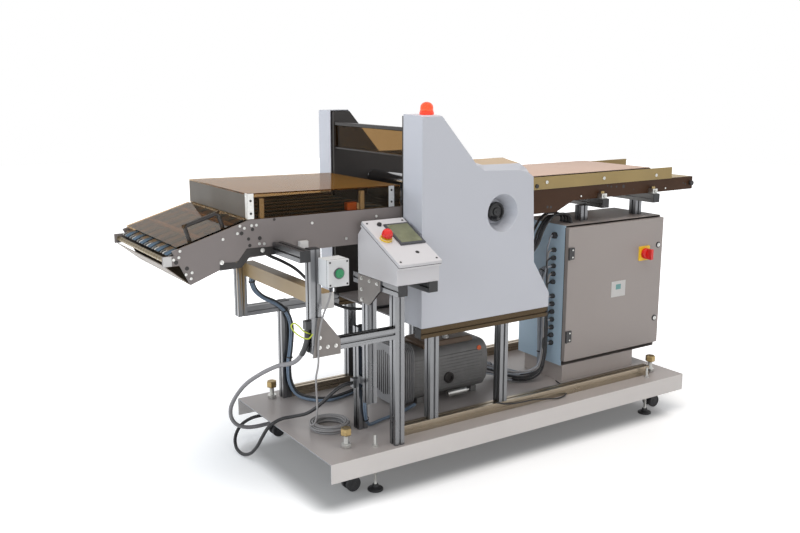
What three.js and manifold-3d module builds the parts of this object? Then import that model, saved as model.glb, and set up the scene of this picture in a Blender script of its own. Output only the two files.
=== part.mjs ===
// Free-standing paper folding machine with a belt delivery, a feed table, a control cabinet and a vacuum pump.
// Millimetres, +Z up. Lengths are measured from the tray's front left corner on the floor, with +X along the
// machine towards the feed table and +Y to the back. The exported group puts its origin in the middle of the
// footprint, on the floor.
import * as THREE from "three";
import { mergeVertices } from "three/addons/utils/BufferGeometryUtils.js";
import Module from "manifold-3d";

const wasm = await Module();
wasm.setup();

// Driving dimensions
const gap = 0.3; // clearance between neighbours that must not touch
const over = 1; // overrun of a cut, and overlap of a join
const seat = 8; // depth to which a fitting is let into a slotted bar
const bar = { size: 40, slot: 8, depth: 5.5 };
const tray = { length: 1855, width: 820, flange: 75, sheet: 5, top: 173 };
const rail = { front: 84, back: 68, start: 355, endInset: 135 };
const portal = { left: 485, right: 830, rise: 330, start: 441, end: 1075 };
const cover = {
  start: 440, length: 638, height: 796, front: 80, nearDepth: 125, farDepth: 100, wall: 3, lift: 2,
};
const side = { plate: 18, inset: 7, deck: 6 };
const delivery = { reach: 621, width: 551, plate: 8, top: 862, depth: 127, slopeRun: 278, slopeFall: 82 };
const feed = { start: 930, end: 2109, width: 431, plate: 8, bottom: 819, roller: 16 };
const cabinet = {
  start: 1296, width: 600, height: 636, lift: 76, front: 200, depth: 313, sheet: 2.5, door: 22,
  doorLow: 24, doorTop: 9,
};
const consoleBox = {
  start: 249, front: -46, width: 180, depth: 267, frontRise: 62, backRise: 175, chamfer: 28,
};

// Levels and planes that the driving dimensions give
const trayTop = tray.top;
const trayUnder = tray.top - tray.sheet;
const railEnd = tray.length - rail.endInset;
const railTop = trayTop + bar.size;
const backRail = tray.width - rail.back - bar.size;
const portalUnder = railTop + portal.rise;
const deckUnder = portalUnder + bar.size;
const deckTop = deckUnder + side.deck;
const coverBottom = deckUnder + cover.lift;
const nearPlate = cover.front + cover.nearDepth + gap;
const nearInner = nearPlate + side.plate;
const deliveryTop = trayTop + delivery.top;
const deliveryUnder = deliveryTop - delivery.depth;
const deliveryFar = nearInner + delivery.width;
const farInner = deliveryFar - delivery.plate - side.plate + gap;
const farPlate = farInner + side.plate;
const farCover = farPlate + gap;
const cabinetTop = trayTop + cabinet.lift + cabinet.height;
const feedUnder = trayTop + feed.bottom;

// Solids from three.js geometries
function solid(geometry) {
  const bare = geometry.index ? geometry.toNonIndexed() : geometry.clone();
  bare.deleteAttribute("normal");
  bare.deleteAttribute("uv");
  const merged = mergeVertices(bare, 1e-4);
  const triVerts = new Uint32Array(merged.index.array);
  return new wasm.Manifold(
    new wasm.Mesh({ numProp: 3, vertProperties: merged.attributes.position.array, triVerts }),
  );
}

function block(x0, x1, y0, y1, z0, z1) {
  const geometry = new THREE.BoxGeometry(x1 - x0, y1 - y0, z1 - z0);
  geometry.translate((x0 + x1) / 2, (y0 + y1) / 2, (z0 + z1) / 2);
  return solid(geometry);
}

// A prism along X, Y or Z: its outline is a list of pairs in the other two axes, in X, Y, Z order.
function prism(axis, outline, start, end) {
  const flip = axis === "y";
  const shape = new THREE.Shape(outline.map(([a, b]) => new THREE.Vector2(flip ? b : a, flip ? a : b)));
  const geometry = new THREE.ExtrudeGeometry(shape, { depth: end - start, bevelEnabled: false });
  geometry.translate(0, 0, start);
  const turn = new THREE.Matrix4();
  const [x, y, z] = [new THREE.Vector3(1, 0, 0), new THREE.Vector3(0, 1, 0), new THREE.Vector3(0, 0, 1)];
  if (axis === "x") turn.makeBasis(y, z, x);
  if (axis === "y") turn.makeBasis(z, x, y);
  geometry.applyMatrix4(turn);
  return solid(geometry);
}

// A straight round piece from one point to another; its end radius may differ.
function rod(from, to, radius, sides = 16, endRadius = radius) {
  const a = new THREE.Vector3(...from);
  const b = new THREE.Vector3(...to);
  const geometry = new THREE.CylinderGeometry(endRadius, radius, a.distanceTo(b), sides);
  const turn = new THREE.Quaternion().setFromUnitVectors(
    new THREE.Vector3(0, 1, 0),
    b.clone().sub(a).normalize(),
  );
  geometry.applyQuaternion(turn);
  geometry.translate((a.x + b.x) / 2, (a.y + b.y) / 2, (a.z + b.z) / 2);
  return solid(geometry);
}

// A turned piece about a line through a point: profile pairs are radius and height along the axis.
function turned(profile, at, axis, sides = 24) {
  const geometry = new THREE.LatheGeometry(profile.map(([r, h]) => new THREE.Vector2(r, h)), sides);
  const turn = new THREE.Quaternion().setFromUnitVectors(new THREE.Vector3(0, 1, 0), axis);
  geometry.applyQuaternion(turn);
  geometry.translate(...at);
  return solid(geometry);
}

// A closed form through outlines of the same number of points, each given with its place along Y.
function lofted(sections) {
  const ordered = [...sections].sort(([a], [b]) => a - b);
  const n = ordered[0][1].length;
  const points = ordered.flatMap(([y, outline]) => outline.map(([x, z]) => [x, y, z]));
  const faces = [];
  for (let first = 0; first < points.length - n; first += n) {
    for (let i = 0; i < n; i++) {
      const [a, b] = [first + i, first + ((i + 1) % n)];
      faces.push([a, b, b + n], [a, b + n, a + n]);
    }
  }
  const cap = (first, facing) => {
    const flat = points.slice(first, first + n).map(([x, , z]) => new THREE.Vector2(x, z));
    for (const [i, j, k] of THREE.ShapeUtils.triangulateShape(flat, [])) {
      const area = flat[j].clone().sub(flat[i]).cross(flat[k].clone().sub(flat[i]));
      faces.push(area * facing > 0 ? [first + i, first + j, first + k] : [first + i, first + k, first + j]);
    }
  };
  cap(0, 1);
  cap(points.length - n, -1);
  const geometry = new THREE.BufferGeometry();
  const corners = faces.flat().flatMap((i) => points[i]);
  geometry.setAttribute("position", new THREE.Float32BufferAttribute(corners, 3));
  return solid(geometry);
}

const join = (...solids) => solids.reduce((all, one) => all.add(one));
const cut = (whole, ...tools) => tools.reduce((left, one) => left.subtract(one), whole);

// A slotted aluminium bar along one axis, from its low corner in the other two.
function slotted(axis, a, b, start, end) {
  const s = bar.size;
  const m = s / 2;
  const h = bar.slot / 2;
  const d = bar.depth;
  const quarter = [[0, 0], [m - h, 0], [m - h, d], [m + h, d], [m + h, 0]];
  const outline = [0, 1, 2, 3].flatMap((turn) =>
    quarter.map(([u, v]) => [[u, v], [s - v, u], [s - u, s - v], [v, s - u]][turn]),
  );
  return prism(axis, outline.map(([u, v]) => [a + u, b + v]), start, end);
}

// An outline moved inwards by one distance, for sheet shells.
function inset(outline, distance) {
  const n = outline.length;
  const area = outline.reduce((sum, [x, y], i) => {
    const [p, q] = outline[(i + 1) % n];
    return sum + x * q - p * y;
  }, 0);
  const d = distance * Math.sign(area);
  return outline.map(([x, y], i) => {
    const [px, py] = outline[(i + n - 1) % n];
    const [nx, ny] = outline[(i + 1) % n];
    const u = new THREE.Vector2(x - px, y - py).normalize();
    const v = new THREE.Vector2(nx - x, ny - y).normalize();
    const turn = 1 + u.dot(v);
    return [x + (d * (-u.y - v.y)) / turn, y + (d * (u.x + v.x)) / turn];
  });
}

// Scene graph helpers
const machine = new THREE.Group();
const paint = (color, roughness, metalness = 0) =>
  new THREE.MeshStandardMaterial({ color, roughness, metalness });
const finish = {
  aluminium: paint(0xc9ccd2, 0.35, 0.9),
  steel: paint(0xb8bac0, 0.3, 1),
  greyPaint: paint(0xcac8c6, 0.45),
  platePaint: paint(0x77716e, 0.5, 0.2),
  trayPaint: paint(0xcfc0b3, 0.5),
  black: paint(0x1a1a1c, 0.5),
  bronze: paint(0x7a6138, 0.4, 0.6),
  white: paint(0xdcd2ca, 0.6),
  smoked: new THREE.MeshStandardMaterial({ color: 0x6a5440, roughness: 0.1, transparent: true, opacity: 0.5 }),
  red: paint(0xe02818, 0.4),
  green: paint(0x14824f, 0.4),
  beacon: paint(0xf06a28, 0.3),
  pump: paint(0x6b6864, 0.5, 0.2),
  cable: paint(0x8d8f93, 0.6),
  rubber: paint(0x202022, 0.7),
};

function add(name, made, material) {
  const { numProp, vertProperties, triVerts } = made.getMesh();
  const positions = new Float32Array(triVerts.length * 3);
  triVerts.forEach((vertex, i) => {
    for (let k = 0; k < 3; k++) positions[i * 3 + k] = vertProperties[vertex * numProp + k];
  });
  const geometry = new THREE.BufferGeometry();
  geometry.setAttribute("position", new THREE.BufferAttribute(positions, 3));
  geometry.computeVertexNormals();
  const mesh = new THREE.Mesh(geometry, material);
  mesh.name = name;
  machine.add(mesh);
  return mesh;
}

// Levelling feet and casters under the tray
const foot = {
  rod: 6, pad: 30, padRise: 9, coneRise: 16, above: 45, hole: 7, left: 220, right: 178, side: 60,
};
const caster = { wheel: 29, tread: 16, axle: 5, web: 14, side: 2, clear: 2, trail: 18, play: 0.4, bolt: 10 };
const casterBlock = { half: 20, hood: 12, collar: 16 };
const casterHead = { radius: 22, rise: 27, above: 77, nut: 20, nutRise: 16 };
const casterInset = { left: 125, right: 101, front: 110, back: 75 };
const footPlaces = [
  [foot.left, foot.side],
  [tray.length - foot.right, foot.side],
  [foot.left, tray.width - foot.side],
  [tray.length - foot.right, tray.width - foot.side],
];
const casterPlaces = [
  [casterInset.left, casterInset.front],
  [tray.length - casterInset.right, casterInset.front],
  [casterInset.left, tray.width - casterInset.back],
  [tray.length - casterInset.right, tray.width - casterInset.back],
];

const inlet = { level: 50, nose: 12, radius: 12, half: 20, length: 44, places: [[60, 220], [90, 120]] };

function baseTray() {
  const w = tray.width;
  const s = tray.sheet;
  const low = tray.top - tray.flange;
  const outline = [
    [0, low], [s, low], [s, trayUnder], [w - s, trayUnder], [w - s, low], [w, low], [w, trayTop], [0, trayTop],
  ];
  let made = prism("x", outline, 0, tray.length);
  for (const [x, y] of footPlaces)
    made = cut(made, rod([x, y, trayUnder - over], [x, y, trayTop + over], foot.hole));
  for (const [x, y] of casterPlaces)
    made = cut(made, rod([x, y, trayUnder - over], [x, y, trayTop + over], caster.bolt + caster.play));
  const inlets = inlet.places.flatMap(([x, inward]) => {
    const y = tray.width - inward;
    const z = trayTop - inlet.level;
    const back = x + inlet.nose;
    return [
      rod([x, y, z], [back + over, y, z], inlet.radius, 12),
      block(back, back + inlet.length, y - inlet.half, y + inlet.half, z - inlet.half, trayUnder + over),
    ];
  });
  return join(made, ...inlets);
}

function levellingFoot([x, y]) {
  const profile = [
    [0, 0], [foot.pad, 0], [foot.pad, foot.padRise], [foot.rod * 2, foot.padRise + foot.coneRise],
    [foot.rod, foot.padRise + foot.coneRise], [foot.rod, trayTop + foot.above], [0, trayTop + foot.above],
  ];
  return turned(profile, [x, y, 0], new THREE.Vector3(0, 0, 1), 16);
}

// The caster's bolt, swivel head and web are one piece; the twin wheel turns in the web's bore.
const wheelCentre = caster.wheel + caster.clear;
function casterHousing([x, y]) {
  const hoodUnder = wheelCentre + caster.wheel + caster.side;
  const hoodTop = hoodUnder + casterBlock.hood;
  const web = block(
    x - casterBlock.half, x + caster.trail + caster.axle * 2,
    y - caster.web / 2, y + caster.web / 2,
    wheelCentre - caster.axle * 2, hoodUnder + over,
  );
  const hood = block(
    x - casterBlock.half, x + casterBlock.half, y - casterBlock.half, y + casterBlock.half, hoodUnder, hoodTop,
  );
  const collar = rod([x, y, hoodTop - over], [x, y, trayUnder - gap], casterBlock.collar);
  const bolt = rod([x, y, trayUnder - over], [x, y, trayTop + casterHead.above - over], caster.bolt);
  const nut = rod([x, y, trayTop + gap], [x, y, trayTop + casterHead.nutRise], casterHead.nut, 6);
  const headUnder = trayTop + casterHead.above - casterHead.rise;
  const head = rod([x, y, headUnder], [x, y, trayTop + casterHead.above], casterHead.radius, 6);
  const axle = x + caster.trail;
  const bore = rod([axle, y - caster.wheel, wheelCentre], [axle, y + caster.wheel, wheelCentre],
    caster.axle + caster.play);
  return cut(join(web, hood, collar, bolt, nut, head), bore);
}

function casterWheels([x, y]) {
  const axle = x + caster.trail;
  const near = caster.web / 2 + caster.side;
  const far = near + caster.tread;
  const profile = [
    [0, -far], [caster.wheel, -far], [caster.wheel, -near], [caster.axle, -near],
    [caster.axle, near], [caster.wheel, near], [caster.wheel, far], [0, far],
  ];
  return turned(profile, [axle, y, wheelCentre], new THREE.Vector3(0, 1, 0), 20);
}

add("base_tray", baseTray(), finish.trayPaint);
footPlaces.forEach((place, i) => add("levelling_foot_" + (i + 1), levellingFoot(place), finish.steel));
casterPlaces.forEach((place, i) => {
  add("caster_housing_" + (i + 1), casterHousing(place), finish.steel);
  add("caster_wheels_" + (i + 1), casterWheels(place), finish.rubber);
});

// Base rails on the tray and the two portals that carry the folding head
const stand = { post: 163, left: 13, beam: 385, ductUnder: 555, ductRise: 55, ductWidth: 40, ductFront: 58 };
add("base_rail_front", slotted("x", rail.front, trayTop, rail.start, railEnd), finish.aluminium);
add(
  "base_rail_back",
  slotted("x", backRail, trayTop, stand.post + bar.size, railEnd),
  finish.aluminium,
);

function portalAt(y) {
  const posts = [portal.left, portal.right].map((x) => slotted("z", x, y, railTop, portalUnder + over));
  return join(slotted("x", y, portalUnder, portal.start, portal.end), ...posts);
}
add("portal_front", portalAt(rail.front), finish.aluminium);
add("portal_back", portalAt(backRail), finish.aluminium);

// Folding head: a deck on the portals, two side plates that hold the rollers, and two sheet covers
const faceShares = [
  [0, 0], [0, 0.993], [0.138, 0.993], [0.361, 0.791], [0.395, 0.757], [0.452, 0.729], [0.73, 0.721],
  [0.8, 0.706], [0.841, 0.683], [0.865, 0.2475], [1, 0.0754], [1, 0],
];
const backShares = [
  [0, 0], [0, 1], [0.138, 1], [0.361, 0.791], [0.384, 0.772], [0.452, 0.772], [0.752, 0.771],
  [0.805, 0.733], [0.841, 0.683], [0.865, 0.2475], [1, 0.0754], [1, 0],
];
const rolled = { depth: 16, share: 0.65 };
const fromShares = (shares) =>
  shares.map(([u, v]) => [cover.start + u * cover.length, coverBottom + v * cover.height]);
const faceOutline = fromShares(faceShares);
const backOutline = fromShares(backShares);
const rolledOutline = faceOutline.map(([x, z], i) => [
  x + (backOutline[i][0] - x) * rolled.share,
  z + (backOutline[i][1] - z) * rolled.share,
]);
const port = { x: 383, z: 411, radius: 75, floor: 48, depth: 62, shaft: 9, play: 0.4 };
const portX = cover.start + port.x;
const portZ = coverBottom + port.z;

// A sheet cover whose top edge rises from its face in a roll; it is open towards the head.
function headCover(outer, openTo) {
  const inwards = Math.sign(openTo - outer);
  const roll = outer + inwards * rolled.depth;
  const shell = lofted([[outer, faceOutline], [roll, rolledOutline], [openTo, backOutline]]);
  const past = openTo + inwards * over;
  const wallIn = outer + inwards * cover.wall;
  const hollow = lofted([
    [wallIn, inset(faceOutline, cover.wall)],
    [roll + inwards, inset(rolledOutline, cover.wall)],
    [past, inset(backOutline, cover.wall)],
  ]);
  const low = Math.min(wallIn, past);
  const high = Math.max(wallIn, past);
  const bottom = block(
    cover.start + cover.wall, cover.start + cover.length - cover.wall, low, high,
    coverBottom - over, coverBottom + cover.wall + over,
  );
  return cut(shell, hollow, bottom);
}

function nearCover() {
  const front = cover.front;
  const w = cover.wall;
  const dish = [
    [port.shaft + port.play, port.depth], [port.floor, port.depth], [port.radius, 0],
    [port.radius + w, 0], [port.radius + w, w], [port.floor + w, port.depth + w],
    [port.shaft + port.play, port.depth + w], [port.shaft + port.play, port.depth],
  ];
  const opening = rod([portX, front - over, portZ], [portX, front + w + over, portZ], port.radius, 32);
  const along = new THREE.Vector3(0, 1, 0);
  return join(cut(headCover(front, front + cover.nearDepth), opening),
    turned(dish, [portX, front, portZ], along, 32));
}

add("near_cover", nearCover(), finish.greyPaint);
add("far_cover", headCover(farCover + cover.farDepth, farCover), finish.greyPaint);

// Side plates, with the bores of the rollers, the guard's pins and the handwheel
const roll = { radius: 30, journal: 12, play: 0.4, x: 200, nip: 890, slit: 0.6 };
const wheel = { radius: 39, rim: 18, inside: 36, tyre: 6, grip: 8, gripReach: 42, gripAt: 32, gripTurn: 3.8 };
const guard = { x: 20, pin: 4, knuckle: 8, panel: 6, low: 1047, high: 1150, play: 0.4 };
const rollX = cover.start + roll.x;
const rollHigh = trayTop + roll.nip + roll.radius + roll.slit;
const rollLow = trayTop + roll.nip - roll.radius - roll.slit;
const guardX = cover.start + guard.x;
const guardZ = trayTop + guard.high;

const plateOutline = inset(backOutline, side.inset).map(([x, z]) => [
  x, z > deckTop + side.inset ? z : deckTop,
]);
function sidePlate(low, bores) {
  const whole = prism("y", plateOutline, low, low + side.plate);
  const holes = bores.map(([x, z, r]) => rod([x, low - over, z], [x, low + side.plate + over, z], r));
  return cut(whole, ...holes);
}
const rollBores = [[rollX, rollHigh], [rollX, rollLow]].map((at) => [...at, roll.journal + roll.play]);
const pinBore = [guardX, guardZ, guard.pin + guard.play];
const wheelBore = [portX, portZ, port.shaft + port.play];
add("near_side_plate", sidePlate(nearPlate, [...rollBores, pinBore, wheelBore]), finish.steel);
add("far_side_plate", sidePlate(farInner, [...rollBores, pinBore]), finish.steel);

const deckStart = cover.start + cover.wall + gap;
const deckEnd = cover.start + cover.length - cover.wall - gap;
add("machine_deck", block(deckStart, deckEnd, rail.front, farPlate, deckUnder, deckTop), finish.platePaint);

function foldRoller(z) {
  const start = nearPlate + over;
  const end = farPlate - over;
  const profile = [
    [0, start], [roll.journal, start], [roll.journal, nearInner + gap], [roll.radius, nearInner + gap],
    [roll.radius, farInner - gap], [roll.journal, farInner - gap], [roll.journal, end], [0, end],
  ];
  return turned(profile, [rollX, 0, z], new THREE.Vector3(0, 1, 0), 24);
}
add("fold_roller_upper", foldRoller(rollHigh), finish.steel);
add("fold_roller_lower", foldRoller(rollLow), finish.rubber);

function mainGuard() {
  const low = nearInner + gap;
  const high = farInner - gap;
  const half = guard.panel / 2;
  const panel = block(guardX - half, guardX + half, low, high, trayTop + guard.low, guardZ);
  const knuckle = rod([guardX, low, guardZ], [guardX, high, guardZ], guard.knuckle, 12);
  const pin = rod([guardX, nearPlate + over, guardZ], [guardX, farPlate - over, guardZ], guard.pin, 12);
  return join(panel, knuckle, pin);
}
add("main_guard", mainGuard(), finish.smoked);

function handwheel() {
  const front = cover.front + wheel.inside;
  const back = front + wheel.rim;
  const profile = [
    [0, front], [wheel.radius - wheel.tyre, front], [wheel.radius, front + wheel.tyre],
    [wheel.radius, back - wheel.tyre], [wheel.radius - wheel.tyre, back], [port.shaft, back],
    [port.shaft, nearInner - over], [0, nearInner - over],
  ];
  const gripX = portX + wheel.gripAt * Math.cos(wheel.gripTurn);
  const gripZ = portZ + wheel.gripAt * Math.sin(wheel.gripTurn);
  return join(
    turned(profile, [portX, 0, portZ], new THREE.Vector3(0, 1, 0), 28),
    rod([gripX, front - wheel.gripReach, gripZ], [gripX, front + over, gripZ], wheel.grip, 12),
  );
}
add("handwheel", handwheel(), finish.black);

const beacon = { x: 60, y: 60, radius: 27, ring: 14, dome: 24, rise: 46 };
function beaconLamp() {
  const profile = [[0, 0], [beacon.radius, 0], [beacon.radius, beacon.ring], [beacon.dome, beacon.ring]];
  const steps = 5;
  for (let i = 1; i <= steps; i++) {
    const turn = (i / steps) * (Math.PI / 2);
    profile.push([beacon.dome * Math.cos(turn), beacon.ring + (beacon.rise - beacon.ring) * Math.sin(turn)]);
  }
  profile[profile.length - 1][0] = 0;
  const at = [cover.start + beacon.x, cover.front + beacon.y, coverBottom + cover.height];
  return turned(profile, at, new THREE.Vector3(0, 0, 1), 20);
}
add("beacon", beaconLamp(), finish.beacon);

// Operator's console on its posts and arms
const arm = { rise: 585, left: 253, right: 383, front: -46, leftLength: 309, rightLength: 268, tieY: 180 };
const hang = { y: 163, low: 123 };
const backPost = {
  x: 250, y: 228, exit: 18, exitInset: 8, exitLow: 172, exitRise: 36,
  clamp: 30, clampSide: 2, clamps: [190, 340],
};
const plate = { thick: 5, front: 63, drop: 37, run: 77, low: 108, end: 157 };
const armUnder = trayTop + arm.rise;
const armTop = armUnder + bar.size;
const post = { x: 282, y: 17, beam: 413 };
const upright = { x: -57, boxUnder: 656 };
const uprightEnd = upright.x + bar.size;
const beamUnder = trayTop + post.beam;

add(
  "console_post",
  join(
    slotted("z", post.x, post.y, trayTop, armUnder),
    slotted("x", post.y, beamUnder, uprightEnd, post.x + over),
  ),
  finish.aluminium,
);
add(
  "console_back_post",
  join(
    slotted("z", backPost.x, backPost.y, trayTop, beamUnder),
    block(
      backPost.x - backPost.exit, backPost.x + seat,
      backPost.y + backPost.exitInset, backPost.y + bar.size - backPost.exitInset,
      trayTop + backPost.exitLow, trayTop + backPost.exitLow + backPost.exitRise,
    ),
    ...backPost.clamps.map((rise) =>
      block(
        arm.left + backPost.clampSide, backPost.x + bar.size - backPost.clampSide,
        hang.y + bar.size, backPost.y + over, trayTop + rise, trayTop + rise + backPost.clamp,
      ),
    ),
  ),
  finish.aluminium,
);

function consoleFrame() {
  const arms = [
    slotted("y", arm.left, armUnder, arm.front, arm.front + arm.leftLength),
    slotted("y", arm.right, armUnder, arm.front, arm.front + arm.rightLength),
    slotted("x", arm.tieY, armUnder, arm.left + bar.size - over, arm.right + over),
    slotted("z", arm.left, hang.y, trayTop + hang.low, armUnder + over),
  ];
  const outline = [
    [plate.front, armTop - over], [plate.front, armTop - plate.drop],
    [plate.front + plate.run, armTop - plate.low + over], [plate.front + plate.end, armTop - plate.low],
    [plate.front + plate.end, armTop - over],
  ];
  return join(...arms, prism("x", outline, arm.left - plate.thick, arm.left + over));
}
add("console_frame", consoleFrame(), finish.aluminium);

const lid = { overhang: 10, thick: 22, wall: 3 };
const consoleSlope = Math.atan2(
  consoleBox.backRise - consoleBox.frontRise,
  consoleBox.depth - consoleBox.chamfer,
);
function consoleShell() {
  const y = consoleBox.front;
  const end = y + consoleBox.depth;
  const z = armTop;
  const outline = [
    [y, z], [y, z + consoleBox.frontRise], [end - consoleBox.chamfer, z + consoleBox.backRise],
    [end, z + consoleBox.backRise - consoleBox.chamfer], [end, z],
  ];
  const cosine = Math.cos(consoleSlope);
  const sine = Math.sin(consoleSlope);
  const reach = (consoleBox.depth - consoleBox.chamfer) / cosine;
  const onSlope = (s, n) => [y + s * cosine - n * sine, z + consoleBox.frontRise + s * sine + n * cosine];
  const lidOutline = [
    onSlope(-lid.overhang, -over), onSlope(reach + lid.overhang, -over),
    onSlope(reach + lid.overhang, lid.thick), onSlope(-lid.overhang, lid.thick),
  ];
  const x = consoleBox.start;
  const right = x + consoleBox.width;
  const inside = inset(outline, lid.wall);
  return cut(
    join(prism("x", outline, x, right), prism("x", lidOutline, x, right)),
    prism("x", inside, x + lid.wall, right - lid.wall),
    block(x + lid.wall, right - lid.wall, y + lid.wall, end - lid.wall, z - over, z + lid.wall + over),
  );
}
// A point on the console's sloped lid: along X, up the slope, and off its face.
function onLid(x, s, n) {
  const cosine = Math.cos(consoleSlope);
  const sine = Math.sin(consoleSlope);
  const off = n + lid.thick;
  return [
    consoleBox.start + x,
    consoleBox.front + s * cosine - off * sine,
    armTop + consoleBox.frontRise + s * sine + off * cosine,
  ];
}
const lidNormal = new THREE.Vector3(0, -Math.sin(consoleSlope), Math.cos(consoleSlope));
const screen = { x: 70, up: 102, width: 107, height: 132, thick: 6 };
const estop = {
  x: 34, up: 150, collar: 23, collarRise: 8, stem: 9, head: 20.5, headRise: 28, travel: 5, well: 14,
};
const reset = { x: 56, up: 240, radius: 9, rise: 9, travel: 3, well: 8, play: 0.4 };

function touchscreen() {
  const geometry = new THREE.BoxGeometry(screen.width, screen.height, screen.thick + over);
  geometry.rotateX(consoleSlope);
  const middle = onLid(screen.x + screen.width / 2, screen.up + screen.height / 2, (screen.thick - over) / 2);
  geometry.translate(...middle);
  return solid(geometry);
}

function consoleWithFittings() {
  const collar = turned(
    [[0, -over], [estop.collar, -over], [estop.collar, estop.collarRise], [0, estop.collarRise]],
    onLid(estop.x, estop.up, 0), lidNormal, 24,
  );
  const well = turned(
    [
      [0, -estop.well], [estop.stem + reset.play, -estop.well],
      [estop.stem + reset.play, estop.collarRise + over], [0, estop.collarRise + over],
    ],
    onLid(estop.x, estop.up, 0), lidNormal, 16,
  );
  const resetWell = turned(
    [[0, -reset.well], [reset.radius + reset.play, -reset.well], [reset.radius + reset.play, over], [0, over]],
    onLid(reset.x, reset.up, 0), lidNormal, 16,
  );
  return cut(join(consoleShell(), collar, touchscreen()), well, resetWell);
}
add("console_box", consoleWithFittings(), finish.greyPaint);

function estopButton() {
  const low = estop.travel - estop.well + over;
  const under = estop.collarRise + estop.travel + over;
  const profile = [
    [0, low], [estop.stem, low], [estop.stem, under], [estop.head, under],
    [estop.head, under + estop.headRise], [0, under + estop.headRise],
  ];
  return turned(profile, onLid(estop.x, estop.up, 0), lidNormal, 24);
}
add("estop_button", estopButton(), finish.red);
const resetProfile = [
  [0, reset.travel - reset.well + over], [reset.radius, reset.travel - reset.well + over],
  [reset.radius, reset.rise], [0, reset.rise],
];
add("reset_button", turned(resetProfile, onLid(reset.x, reset.up, 0), lidNormal, 16), finish.black);

// Start station on the delivery's near upright
const startBox = { left: -28, width: 80, front: -54, height: 92 };
const start = { radius: 15.5, travel: 4, well: 16, bezel: 19, bezelRise: 5, play: 0.4 };
const support = { x: -97, front: 14, under: 736 };
const startZ = trayTop + upright.boxUnder + startBox.height / 2;
const startX = startBox.left + startBox.width / 2;

const knee = { thick: 5, reach: 52, low: 400, high: 540, side: 21 };
const strain = { side: 18, y: 34, half: 13, under: 500, rise: 30 };
function startStand() {
  const column = slotted("z", upright.x, post.y, beamUnder, trayTop + support.under + bar.size);
  const armBar = slotted("y", support.x, trayTop + support.under, support.front, nearInner - gap);
  const outline = [
    [upright.x + over, trayTop + knee.low], [knee.reach, trayTop + knee.low],
    [knee.reach, beamUnder + bar.size],
    [uprightEnd + over, trayTop + knee.high], [upright.x + knee.side, trayTop + knee.high],
  ];
  const gusset = prism("y", outline, post.y - knee.thick, post.y);
  const joinColumn = block(
    upright.x + over, uprightEnd - over, post.y - over, post.y + seat, beamUnder, trayTop + knee.high,
  );
  const clamp = block(
    upright.x - strain.side, upright.x + seat, strain.y - strain.half, strain.y + strain.half,
    trayTop + strain.under, trayTop + strain.under + strain.rise,
  );
  const seam = block(
    upright.x - over, upright.x + seat, post.y + seat, post.y + bar.size - seat,
    trayTop + support.under + seat, trayTop + support.under + bar.size - seat,
  );
  return join(column, armBar, gusset, joinColumn, clamp, seam);
}
add("start_stand", startStand(), finish.aluminium);

function startStation() {
  const f = startBox.front;
  const box = block(
    startBox.left, startBox.left + startBox.width, f, post.y,
    trayTop + upright.boxUnder, trayTop + upright.boxUnder + startBox.height,
  );
  const bezel = rod([startX, f - start.bezelRise, startZ], [startX, f + over, startZ], start.bezel, 24);
  const well = rod([startX, f - start.bezelRise - over, startZ], [startX, f + start.well, startZ],
    start.radius + start.play, 24);
  return cut(join(box, bezel), well);
}
add("start_box", startStation(), finish.greyPaint);
const startFront = startBox.front - start.bezelRise - start.travel - over;
add(
  "start_button",
  rod([startX, startFront, startZ], [startX, startBox.front + start.well - start.travel - over, startZ],
    start.radius, 24),
  finish.green,
);

// Delivery: two side plates, a pan with the belt bed, the nose roller, the hood and the sloped lid
const tail = { endRun: 59, endFall: 121, lowRun: 34, lowFall: 134, flat: 127, tongue: 30 };
const nose = { out: 15, drop: 33, half: 17, reach: 42, radius: 9, journal: 5, play: 0.4 };
const bend = cover.start - delivery.reach;
const slopeEnd = bend - delivery.slopeRun;
const slopeLow = deliveryTop - delivery.slopeFall;
const noseX = slopeEnd - nose.out;
const noseZ = slopeLow - nose.drop;
const flatStart = bend + tail.flat;
const lowBend = [bend - tail.lowRun, deliveryTop - tail.lowFall];
const lowEnd = [slopeEnd + tail.endRun, slopeLow - tail.endFall];

function deliveryPlate(low, end) {
  const outline = [
    [end, deliveryTop], [bend, deliveryTop], [slopeEnd, slopeLow], lowEnd, lowBend,
    [flatStart, deliveryUnder], [end, deliveryUnder],
  ];
  const high = low + delivery.plate;
  const corner = block(
    noseX - nose.half, noseX + nose.reach, low, high, noseZ - nose.half, noseZ + nose.half,
  );
  const bore = rod([noseX, low - over, noseZ], [noseX, high + over, noseZ], nose.journal + nose.play);
  return cut(join(prism("y", outline, low, high), corner), bore);
}
const deliveryEnd = cover.start - gap;
const panStart = nearInner + delivery.plate;
const panEnd = deliveryFar - delivery.plate;
add("delivery_plate_near", deliveryPlate(nearInner, deliveryEnd + tail.tongue), finish.platePaint);
add("delivery_plate_far", deliveryPlate(panEnd, deliveryEnd), finish.platePaint);

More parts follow.
